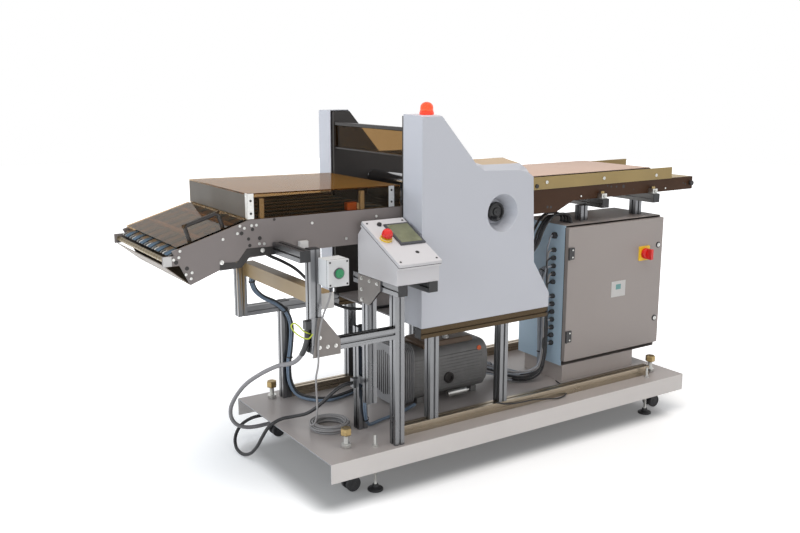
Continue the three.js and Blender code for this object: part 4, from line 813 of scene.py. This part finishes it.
blocks("delivery_white_clamp", pale_bracket, "plate_paint",
       [((2, 206, 902), (36, 223.2, 944)), ((8, 204, 925), (30, 206.2, 938))], edge=1.5)
slabs("nose_brackets", pale_bracket, "plate_paint",
      [(-490.4, 903.6), (-461, 903.6), (-461, 936.4), (-490.4, 936.4)], "y",
      [(y, y + 0.75) for y in (222.5, 774.35)], edge=0.2)
slabs("nose_comb", zinc, "plate_paint", [(-444, 944), (-460, 938), (-463, 933), (-458, 931), (-444, 934)],
      "y", [(y, y + 9) for y in range(246, 760, 28)], edge=0.5)
nose_metal = finish("nose_metal", (0.2, 0.155, 0.085, 1), 0.3, 1, grain=(60, 0.05), fine=(1200, 0.06))
lathe("nose_shaft", nose_metal, "nose_metal", [(0, 224.4), (5, 224.4), (5, 231.7), (8.4, 231.7), (9, 232.4)]
      + [(r, y) for y in range(250, 760, 28) for r, y in ((9, y), (8.2, y + 1), (8.2, y + 8), (9, y + 9))]
      + [(9, 765), (8.4, 765.9), (5, 765.9), (5, 773.2), (0, 773.2)], [(-474, 0, 920)], to_back, 32,
      body="nose", stands_for="nose_roller")

# Delivery belts: six flat woven bands with a blue face run over the bed and down to the nose
# roller. Olive painted cross bars and two black sensor boxes lie across the sloped end.
band_top = [(430, 1025.6), (-181, 1025.6), (-446, 947.6), (-466, 938)]
band_blue = paint("band_blue", (50, 72, 90), 0.62, (40, 0.06), (800, 0.3))
slabs("delivery_bands", band_blue, "plate_paint", band_top + [(x, z - 2.2) for x, z in reversed(band_top)],
      "y", [(y, y + 34) for y in range(250, 681, 86)], edge=0.3)
olive_paint = paint("olive_paint", (142, 120, 84), 0.42, (14, 0.04), (900, 0.12))
blocks("delivery_cross_bars", olive_paint, "plate_paint",
       [((x - 11, 231.6, z - 5), (x + 11, 766, z + 4)) for x, z in (on_tail(52, -8), on_tail(176, -8))],
       edge=0.8)
blocks("delivery_sensor_boxes", moulded_black, "plate_paint",
       [((x - 13, 238, z - 10), (x + 13, 306, z + 8)) for x, z in (on_tail(84, -10), on_tail(128, -10))],
       edge=1.5)

# Delivery hood: a cover of smoked sheet with a golden top and a brown end panel, and bright corner
# strips held by two screws each. It hinges along its far side and shuts on posts and an interlock.
coat(smoked_sheet("hood_side", colour(180, 160, 132), 0.02, 0.08, 1.14), "delivery_hood")
hood_top = smoked_sheet("hood_top", colour(146, 108, 52), 0.06, 0.16, 1.06, clear=0.55)
coat_where("delivery_hood", hood_top, lambda x, y, z: z > 1112 and 230 < y < 765)
strip_front, strip_back = 222.2, 223.2
blocks("hood_corner_strips", zinc, "smoked_plastic", [
    ((-186, strip_front, 1037), (-163, strip_back, 1125)),
    ((386, strip_front, 1037), (410, strip_back, 1116)),
    ((-187.9, strip_front, 1036), (-186.4, 240, 1126))], body="hood", edge=0.3)
lathe("hood_strip_screws", trim_black, "smoked_plastic",
      [(0, 0), (4.4, 0), (4, 1.8), (1.6, 2.1), (1.4, 0.8), (0, 0.8)],
      [(x, strip_front, z) for x in (-174.5, 398) for z in (1056, 1100)], to_front, 16, body="hood")
end_brown = paint("end_brown", (58, 49, 36), 0.42, (14, 0.05), (900, 0.12))
blocks("hood_end_panel", end_brown, "smoked_plastic", [((-187.8, 242, 1040), (-187.1, 770, 1121))],
       body="hood")
plate_top = 1035.3
blocks("hood_rest_posts", zinc, "plate_paint",
       [((x, 232.5, plate_top), (x + 18, 246, 1104)) for x in (-138, 267)], edge=0.8)
interlock_orange = paint("interlock_orange", (226, 120, 40), 0.4, (40, 0.05), (900, 0.08))
blocks("hood_interlock", interlock_orange, "plate_paint", [((212, 233, plate_top), (252, 256, 1064))],
       edge=1.6)
blocks("hood_interlock_tongue", zinc, "plate_paint", [((254, 234, plate_top), (265, 254, 1060))], edge=0.8)

# Sloped lid: smoked sheet too, browner and lying on the sloped end, with a black U handle screwed
# through it. It hinges along its far side.
coat(smoked_sheet("lid_sheet", colour(182, 154, 118), 0.02, 0.07, 1.12), "delivery_lid")
handle_route = ((92, 6), (92, 50), (93.6, 54.6), (98, 57.6), (104, 58), (204, 58), (210, 57.6), (214.4, 54.6),
                (216, 50), (216, 6))
cable("lid_handle", [spot(x, 245.3, z) for x, z in (on_tail(*place) for place in handle_route)], 14.2,
      trim_black, "lid")

# Cable duct: an olive painted box section across the back with a grey near end, and the stand's
# cross beam in the same olive. Both hang on the delivery's rear posts.
blocks("cable_duct", olive_paint, "aluminium_profile", [((13.4, 57.4, 727.6), (53.5, 734, 783.4))], edge=1)
coat_where("delivery_stand", olive_paint, lambda x, y, z: z > 725 and x < 70 and 60 < y < 730)
blocks("cable_duct_end", pale_bracket, "aluminium_profile", [((4.4, 56.4, 727.4), (53.6, 57.6, 783.6))],
       edge=0.4)

# Feed table: dark brown anodised side plates with olive gold guide rails screwed over them. The
# near plate carries its tapped holes, and a black knob turns with the end roller.
feed_plates = ("feed_plate_near", "feed_plate_far")
feed_brown = paint("feed_brown", (60, 38, 22), 0.5, (9, 0.06), (900, 0.14))
adjust(feed_brown, {"Specular IOR Level": 0.2})
coat(feed_brown, *feed_plates)
rail_olive = paint("rail_olive", (150, 128, 78), 0.36, (9, 0.05), (900, 0.1))
coat_where("feed_plate_near", rail_olive, lambda x, y, z: z > 1050 and y < 225.5 and 1079 < x < 1959)
coat_where("feed_plate_far", rail_olive, lambda x, y, z: z > 1051.5 and 1079 < x < 2109)
eased(0.8, *feed_plates)
rail_face = 220.3
# Painted shade: black discs on the plate and rail stand for the shade inside their holes.
feed_hole_shade = bmesh.new()
for x, z, r in ((1564, 1038, 5), (1597, 1036, 5), (1642, 1034, 8), (1541, 1043, 4), (1708, 1017, 3),
                (1187, 975, 6), (1206, 973, 6), (2044, 1025, 4), (2061, 1019, 4)):
    turned(feed_hole_shade, [(0, 0), (r, 0), (r, 0.4), (0, 0.4)], (x, plate_face, z), to_front, 20)
turned(feed_hole_shade, [(0, 0), (9, 0), (8.4, 5), (0, 5)], (1120, rail_face, 1068), to_front, 20)
made("feed_plate_holes", feed_hole_shade, trim_black, "feed_metal")
feed_screws = bmesh.new()
for x, z in ((1175, 1082), (1849, 1073), (1512, 1079)):
    turned(feed_screws, [(0, 0), (7.4, 0), (7.4, 3.4), (6.6, 4.2), (3.8, 4.2), (3.4, 2), (0, 2)],
           (x, rail_face, z), to_front, 20)
for x in (1380, 1920):
    turned(feed_screws, [(0, 0), (4.6, 0), (4, 2.2), (0, 2.6)], (x, plate_face, 1008), to_front, 16)
made("feed_rail_screws", feed_screws, zinc, "feed_metal")
roller_black = paint("roller_black", (40, 38, 38), 0.5, (60, 0.06), (1200, 0.2))
lathe("feed_end_barrel", roller_black, "black_plastic",
      [(0, 209), (9.6, 209), (11.6, 210.6), (12, 213), (11.4, 221.6), (6, 222.8), (6, 231.8), (15, 231.8),
       (16, 233), (16, 643.8), (15, 645.8), (6, 645.8), (6, 653), (0, 653)], [(2093, 0, 1022.5)], to_back, 36,
      body="end_roller", stands_for="feed_end_roller")

# Feed belt: one wide woven band, pale and slightly pink, with a fine cross weave. It runs over the
# table's full width between the side plates.
belt_cloth = paint("belt_cloth", (196, 172, 158), 0.72, (7, 0.025), (1300, 0.3))
tree = belt_cloth.node_tree
weave = node(tree, "TexWave", {"Vector": node(tree, "TexCoord").outputs["Object"], "Scale": 160,
                               "Distortion": 0.6},
             bands_direction="X")
ridge = node(tree, "Bump", {"Strength": 0.12, "Distance": 0.0003, "Height": weave.outputs["Fac"]})
adjust(belt_cloth, {"Normal": ridge.outputs[0]})
coat(belt_cloth, "feed_belt")
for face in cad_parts["feed_belt"].data.polygons:
    face.use_smooth = True
eased(0.6, "feed_belt")

# Feed stand: aluminium bars bolted between the cabinet's top and the table, capped in black, with
# a bright clamp and a yellow-plated nut where each bar meets the plate.
stand_bars = (1494, 1820)
feed_caps = bmesh.new()
clamps = bmesh.new()
for x in stand_bars:
    end_cap(feed_caps, (x, 186, 972), to_front)
    block(clamps, (x - 15, 194, 992.3), (x + 15, 222.8, 1014))
    turned(clamps, [(0, 0), (7, 0), (7, 6), (6, 7), (3.4, 7), (3, 4), (0, 4)], (x, 194, 1003), to_front, 6)
made("feed_stand_caps", feed_caps, cap_black, "aluminium_profile", edge=0.5)
made("feed_stand_clamps", clamps, zinc, "aluminium_profile", edge=1)
lathe("feed_stand_nuts", yellow_zinc, "aluminium_profile", [(0, 0), (9, 0), (9, 9), (7.6, 10.6), (0, 11)],
      [(x, 208, 1014) for x in stand_bars], sides=6, edge=0.6)
coat_where("feed_stand", bar_upright, lambda x, y, z: z < 951 and y < 333)
coat_where("feed_stand", bar_across, lambda x, y, z: z > 951.5)

# Control cabinet: a folded sheet-steel shell on a plinth, in a fine textured warm grey powder coat. Its
# plinth is painted paler and its left side lighter and bluer, as light on them. A dark strip round its
# door is painted shade in the gap, and glands line its left side.
cabinet_paint = paint("cabinet_paint", (152, 144, 140), 0.5, (4, 0.02), (1300, 0.16), wear=0.04)
coat(cabinet_paint, "cabinet", "cabinet_door")
plinth_top = 248
# Painted light: the plinth is coloured paler than the shell for the light on it.
plinth_painted_light = paint("plinth_painted_light", (182, 173, 168), 0.5, (4, 0.02), (1300, 0.16))
coat_where("cabinet", plinth_painted_light, lambda x, y, z: z < plinth_top)
# Painted light: the shell's left face is coloured lighter and bluer for the cool window light on it.
lit_side = paint("lit_side", (188, 212, 230), 0.5, (4, 0.02), (1300, 0.16))
coat_where("cabinet", lit_side, lambda x, y, z: z > plinth_top and x < 1297)
eased(1.8, "cabinet", "cabinet_door")
# Painted shade: a dark strip round the door stands for the shade in the gap between door and shell.
blocks("door_gap_shade", black_rubber, "cabinet_paint", [
    ((x0, 221.2, z0), (x1, 223.6, z1)) for x0, z0, x1, z1 in (
        (1295.5, 275, 1297, 874), (1895, 275, 1896.5, 874), (1295.5, 874, 1896.5, 875.4),
        (1295.5, 273.6, 1896.5, 275))])
main_gland = 834
gland_heights = [main_gland] + [769 - 36 * i for i in range(5)] + [560 - 36 * i for i in range(7)]
gland = ((0, 0), (11.6, 0), (11.6, 5), (10, 6), (11, 7), (11, 13.4), (8.4, 18), (5, 20), (0, 20))
glands = bmesh.new()
for z in gland_heights:
    wide = 1.35 if z == main_gland else 1
    turned(glands, [(r * wide, out) for r, out in gland], (1296, 284.3, z), to_left, 6)
made("cabinet_glands", glands, moulded_black, "cabinet_paint", edge=0.5)

# Cabinet door: on two black hinges, with a bare riveted plate that carries a teal patch, a yellow
# plate behind the red switch handle, and two quarter-turn locks in bright metal.
door_face, hinge_face, bare_face = 199.9, 193.5, 198.9
switch_yellow = paint("switch_yellow", (232, 190, 40), 0.4, (40, 0.03), (1000, 0.08))
coat_where("cabinet_door", switch_yellow, lambda x, y, z: y < door_face and 1737 < x < 1805 and 684 < z < 752)
hinges = bmesh.new()
for z in (388, 763):
    block(hinges, (1301, hinge_face, z - 26), (1328, door_face, z + 26))
    turned(hinges, [(0, -27), (5.4, -27), (5.4, 27), (0, 27)], (1298, 194.6, z), upward, 20)
made("door_hinges", hinges, moulded_black, "cabinet_paint", "door", edge=1)
lathe("door_hinge_screws", zinc, "cabinet_paint",
      [(0, 0), (4, 0), (3.8, 1.4), (2, 1.7), (1.8, 0.6), (0, 0.6)],
      [(1317, hinge_face, z) for z in (372, 404, 747, 779)], to_front, 14, body="door")
blocks("door_bare_plate", pale_bracket, "cabinet_paint", [((1570, bare_face, 532), (1660, 199.95, 605))],
       body="door", edge=0.4)
teal_patch = paint("teal_patch", (92, 142, 140), 0.3, (60, 0.06), (1000, 0.05))
blocks("door_plate_patch", teal_patch, "cabinet_paint", [((1598, 198.5, 566), (1630, 199.1, 590))],
       body="door", edge=0.2)
lathe("door_plate_rivets", zinc, "cabinet_paint", [(0, 0), (2, 0), (1.6, 0.9), (0, 1.1)],
      [(x, bare_face, z) for x in (1575, 1655) for z in (537, 600)], to_front, 12, body="door")
handle = bmesh.new()
turned(handle, [(0, -9.8), (7.8, -9.8), (7.8, 0.1), (25, 0.1), (25, 12), (23.4, 17), (20, 20), (0, 20)],
       (1771, 192.7, 718), to_front, 48)
prism(handle, [(1763, 694), (1779, 694), (1779, 742), (1763, 742)], "y", 146.8, 174)
made("switch_handle", handle, mushroom_red, "red_plastic", "main_switch", edge=1.6, stands_for="main_switch")
coat(zinc, "door_lock_1", "door_lock_2")
eased(0.4, "door_lock_1", "door_lock_2")
for number, z in ((1, 748), (2, 395)):
    lathe(f"door_lock_{number}_collar", moulded_black, "cabinet_paint",
          [(9.6, 0), (14, 0), (14, 1.6), (12.6, 3), (9.6, 3), (9.6, 0)], [(1866, door_face, z)], to_front, 36,
          body="door")

# Vacuum pump: a dark grey casting lying between the portals, ribbed lengthways, with a slotted fan
# cap at its left end, a brown top cover, a yellow filling knob, a pale fitting, a black port, a
# drain pipe and an orange sight plug.


def rounded(low_y, high_y, low_z, high_z, corner, steps=5):
    """A rectangle in Y and height with rounded corners."""
    places = []
    right, left, top, foot = high_y - corner, low_y + corner, high_z - corner, low_z + corner
    for centre_y, centre_z, first in ((right, top, 0), (left, top, 90), (left, foot, 180),
                                      (right, foot, 270)):
        for k in range(steps + 1):
            turn = math.radians(first + 90 * k / steps)
            places.append((centre_y + corner * math.cos(turn), centre_z + corner * math.sin(turn)))
    return places


pump_dark = paint("pump_dark", (116, 115, 114), 0.5, (26, 0.08), (800, 0.25))
pump_body = bmesh.new()
prism(pump_body, rounded(326, 539, 194, 404, 44), "x", 566, 946)
prism(pump_body, rounded(334, 531, 202, 396, 48), "x", 940, 962)
prism(pump_body, rounded(346, 519, 214, 384, 52), "x", 960, 975)
for z in range(226, 380, 14):
    prism(pump_body, [(323.5, z), (327, z - 2.4), (327, z + 2.4)], "x", 578, 930)
for x in (602, 885):
    for y in (345, 490):
        block(pump_body, (x, y, 173), (x + 30, y + 30, 198))
made("pump_body", pump_body, pump_dark, "pump_metal", edge=1.6, stands_for="vacuum_pump")
pump_grey = paint("pump_grey", (132, 131, 132), 0.46, (26, 0.06), (700, 0.3))
fan_cap = bmesh.new()
for k in range(9):
    fin = 490 + k * 9.1
    prism(fan_cap, rounded(315, 550, 185, 435, 34), "x", fin, fin + 5)
prism(fan_cap, rounded(320, 545, 190, 430, 34), "x", 492, 570)
made("pump_fan_cap", fan_cap, pump_grey, "pump_metal", edge=1)
# Painted shade: black strips on the cap's end stand for the shade seen in its slots.
slot_shade = bmesh.new()
for k in range(13):
    y = 334 + k * 16
    reach = 96 - abs(k - 6) * 4
    block(slot_shade, (489.4, y - 3.6, 310 - reach), (490.2, y + 3.6, 310 + reach))
made("pump_fan_slot_shade", slot_shade, trim_black, "pump_metal")
cover_brown = paint("cover_brown", (96, 78, 62), 0.5, (20, 0.06), (900, 0.2))
slabs("pump_top_cover", cover_brown, "pump_metal",
      [(640, 400), (900, 400), (900, 416), (886, 426), (654, 426), (640, 416)], "y", [(357, 508)], edge=4)
cover_top = 425.8
knob_yellow = paint("knob_yellow", (222, 190, 60), 0.4, (50, 0.05), (900, 0.1))
lathe("pump_filling_knob", knob_yellow, "pump_metal", [(0, 0), (13, 0), (13, 9), (11, 12), (0, 12.4)],
      [(716, 380, cover_top)])
lathe("pump_suction_fitting", pale_bracket, "pump_metal",
      [(0, 0), (14, 0), (14, 8), (9, 8), (9, 20), (11, 20), (11, 28), (0, 28)], [(772, 380, cover_top)],
      edge=0.6)
lathe("pump_port", trim_black, "pump_metal", [(0, 0), (24, 0), (24, 8), (20, 11), (14, 11), (13, 5), (0, 5)],
      [(750, 326, 268)], to_front, 32)
lathe("pump_drain_pipe", zinc, "pump_metal",
      [(0, 0), (11, 0), (13, 3), (13, 96), (11, 100), (5, 100), (5, 112), (0, 112)], [(728, 303, 204)],
      (1, 0, 0), 28)
orange_mark = paint("orange_mark", (224, 96, 36), 0.4, (50, 0.05), (900, 0.1))
lathe("pump_sight_plug", orange_mark, "pump_metal", [(0, 0), (11, 0), (10, 3), (0, 3.4)], [(912, 327, 373)],
      (0, -1, 0.15))

# Cabinet loom: nine thin grey cables laid in a loose rope, tied with black straps. It leaves the
# cabinet's side, hangs down beside it and runs over the tray to the pump.


def rope(name, line, diameter, skin, places, twist=0.03):
    """Several thin cables side by side along one route, each at its own place around it."""
    side = (line[1] - line[0]).orthogonal().normalized()
    paths = [[] for _ in places]
    for i, here in enumerate(line):
        ahead = (line[min(i + 1, len(line) - 1)] - line[max(i - 1, 0)]).normalized()
        side = (side - ahead * side.dot(ahead)).normalized()
        other = ahead.cross(side)
        turn = twist * i
        for path, (u, v) in zip(paths, places):
            a = u * math.cos(turn) - v * math.sin(turn)
            b = u * math.sin(turn) + v * math.cos(turn)
            path.append(here + (side * a + other * b) / 1000)
    return [cable(f"{name}_{k}", path, diameter, skin) for k, path in enumerate(paths, 1)]


def straps(name, line, places, radius):
    """Black cable ties around a rope, each at one share of its length."""
    ties = bmesh.new()
    for share in places:
        i = int(share * (len(line) - 2))
        centre = ((line[i].x - tray_corner.x) * 1000, (line[i].y - tray_corner.y) * 1000, line[i].z * 1000)
        rim = radius + 1.8
        turned(ties, [(radius, -2.4), (rim, -2.4), (rim, 2.4), (radius, 2.4), (radius, -2.4)], centre,
               (line[i + 1] - line[i]).normalized(), 20)
    made(name, ties, trim_black, "cable_black")


loom_line = smooth_route([
    (1295.7, 336, 500), (1290, 336, 500), (1276, 336, 495), (1265, 336, 480), (1261, 335, 455),
    (1261, 335, 420), (1262, 334, 370), (1265, 331, 290), (1265, 326, 200), (1261, 318, 110),
    (1250, 312, 52), (1222, 318, 25), (1188, 344, 19), (1168, 392, 19), (1150, 440, 20), (1112, 474, 34),
    (1060, 482, 62), (1015, 482, 79), (990, 482, 82), (975.3, 482, 82)], 5)
loom_skin = paint("loom_grey", (146, 150, 158), 0.48, (40, 0.06), (900, 0.1))
around = [(0, 0)] + [(11.6 * math.cos(a * math.pi / 4), 11.6 * math.sin(a * math.pi / 4)) for a in range(8)]
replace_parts(rope("cabinet_loom_cable", loom_line, 8.6, loom_skin, around)[0], "cabinet_loom")
straps("cabinet_loom_straps", loom_line, (0.12, 0.3, 0.47, 0.66, 0.82), 16.2)

# Gland cables: a thin lead from each gland, in greys and black, hangs down beside the cabinet in
# its own bow, spreads over the tray and gathers again at the pump's end.
for number, z in enumerate(gland_heights):
    out = 1262 - number % 4 * 6
    deep = 296 - number % 3 * 7
    low = 12 + number % 5 * 9
    cable(f"gland_lead_{number + 1}", smooth_route([
        (1277, 284.3, z - 173), (1270, 284.3, z - 173), (out + 3, 285, z - 182), (out, 286, z - 200),
        (out, deep, z - 226), (out + number % 2 * 3, deep, (z - 173) / 2 + 46), (out - 6, deep - 2, 78 + low),
        (out - 26, deep - 4, 34 + low), (out - 62, deep + 4, 10 + low), (out - 116, deep + 30, low),
        (1090, 356 + number * 5, low + 2), (1030, 380 + number * 7, low + 30),
        (974, 380 + number * 8, low + 46)], 5), 7.6, (loom_skin, lead_skin, hose_skin)[number % 3])

# Post cables: three blue-grey leads tied down the console's back post, which turn at its foot and
# run over the tray towards the pump.
blue_grey = paint("blue_grey", (110, 126, 144), 0.45, (40, 0.06), (900, 0.08))
post_line = smooth_route([(271, 222, 400), (271, 220.5, 360), (271, 220.5, 250), (271, 221, 120),
                          (275, 224, 60), (300, 240, 14), (360, 262, 7), (430, 280, 7), (500, 296, 9),
                          (560, 300, 24)], 5)
rope("post_lead", post_line, 6.4, blue_grey, [(0, 0), (6.6, 0), (3.3, -5.8)], twist=0)
straps("post_lead_straps", post_line, (0.12, 0.3, 0.5), 10.5)

# Rail lead: a thin black lead in soft plastic, laid along the front rail and over the tray to the
# cabinet's plinth. It lies loose under its own weight.
cable("front_rail_lead", smooth_route([
    (813, 82, 44), (860, 78, 30), (930, 76, 22), (1010, 74, 20), (1080, 66, 12), (1130, 60, 6), (1180, 70, 6),
    (1230, 110, 6), (1262, 170, 6), (1283, 236, 6)], 5), 6, hose_skin)

# Delivery leads: three blue-grey and four black leads in one tied rope, which leaves the cable duct,
# runs down a post at the back and over the tray, and ends behind the pump.
stand_line = smooth_route([
    (33, 700, 575), (33, 700, 560), (30, 699, 530), (42, 698, 494), (76, 698, 460), (135, 698, 426),
    (180, 697, 381), (200, 697, 321), (196, 697, 235), (184, 697, 149), (190, 695, 70), (212, 676, 22),
    (250, 612, 12), (306, 572, 12), (389, 584, 12), (470, 610, 12), (600, 618, 12), (690, 606, 14),
    (742, 584, 26), (764, 562, 44), (768, 545, 52), (768, 536, 52)], 5)
rope("stand_lead", stand_line, 7.4, blue_grey, [(0, 0), (7.6, 0), (3.8, -6.6)], twist=0.02)
rope("stand_lead_black", stand_line, 7.4, hose_skin, [(-3.8, -6.6), (-7.6, 0), (-3.8, 6.6), (3.8, 6.6)],
     twist=0.02)
straps("stand_lead_straps", stand_line, (0.1, 0.28, 0.42), 13)

# Delivery hose: a black hose that leaves the delivery bed's underside and sags to the deck inside
# the head.
cable("delivery_duct_hose", smooth_route([
    (-76, 420, 846), (-77, 420, 815), (-74, 420, 765), (-58, 420, 718), (-22, 420, 690), (33, 420, 661),
    (87, 420, 626), (130, 420, 584), (172, 420, 528), (232, 419, 478), (312, 418, 440), (392, 417, 426),
    (470, 416, 423), (540, 416, 423)], 6), 12, hose_skin)

# Feed cables: black drive leads that leave the head's deck, rise under the feed table's belly and go
# in through moulded glands in the cabinet's top.
for number, (y, low) in enumerate(((262, 0), (280, -16), (300, -30), (322, -8)), 1):
    cable(f"feed_lead_{number}", smooth_route([
        (1044, y, 412), (1044, y, 440), (1052, y, 490 + low), (1172, y - 4, 640 + low),
        (1200, y - 6, 700 + low / 2), (1250, y - 4, 752 + low / 3), (1316, y + 4, 758 + low / 3),
        (1352, y + 8, 748), (1368, y + 8, 734), (1370, y + 8, 712.4)], 5), 11, hose_skin)
lathe("cabinet_top_glands", moulded_black, "cabinet_paint",
      [(0, 0), (9, 0), (9, 5), (7.4, 8), (7.4, 14), (6, 18), (0, 18)],
      [(1370, y, 885) for y in (270, 288, 308, 330)], sides=6, edge=0.5)

# Earth strap: a thin lead in yellow-green plastic, looped out from the start stand's bar and back to
# it, where its two ends are screwed on.
earth_skin = paint("earth_green_yellow", (178, 190, 62), 0.42, (60, 0.08), (900, 0.08))
cable("earth_strap", smooth_route([
    (-56, 12, 486), (-74, 8, 474), (-100, 6, 484), (-128, 8, 508), (-136, 12, 528), (-124, 15, 534),
    (-104, 18, 520), (-86, 22, 500), (-66, 26, 488), (-57.5, 28, 484)], 5), 5, earth_skin)
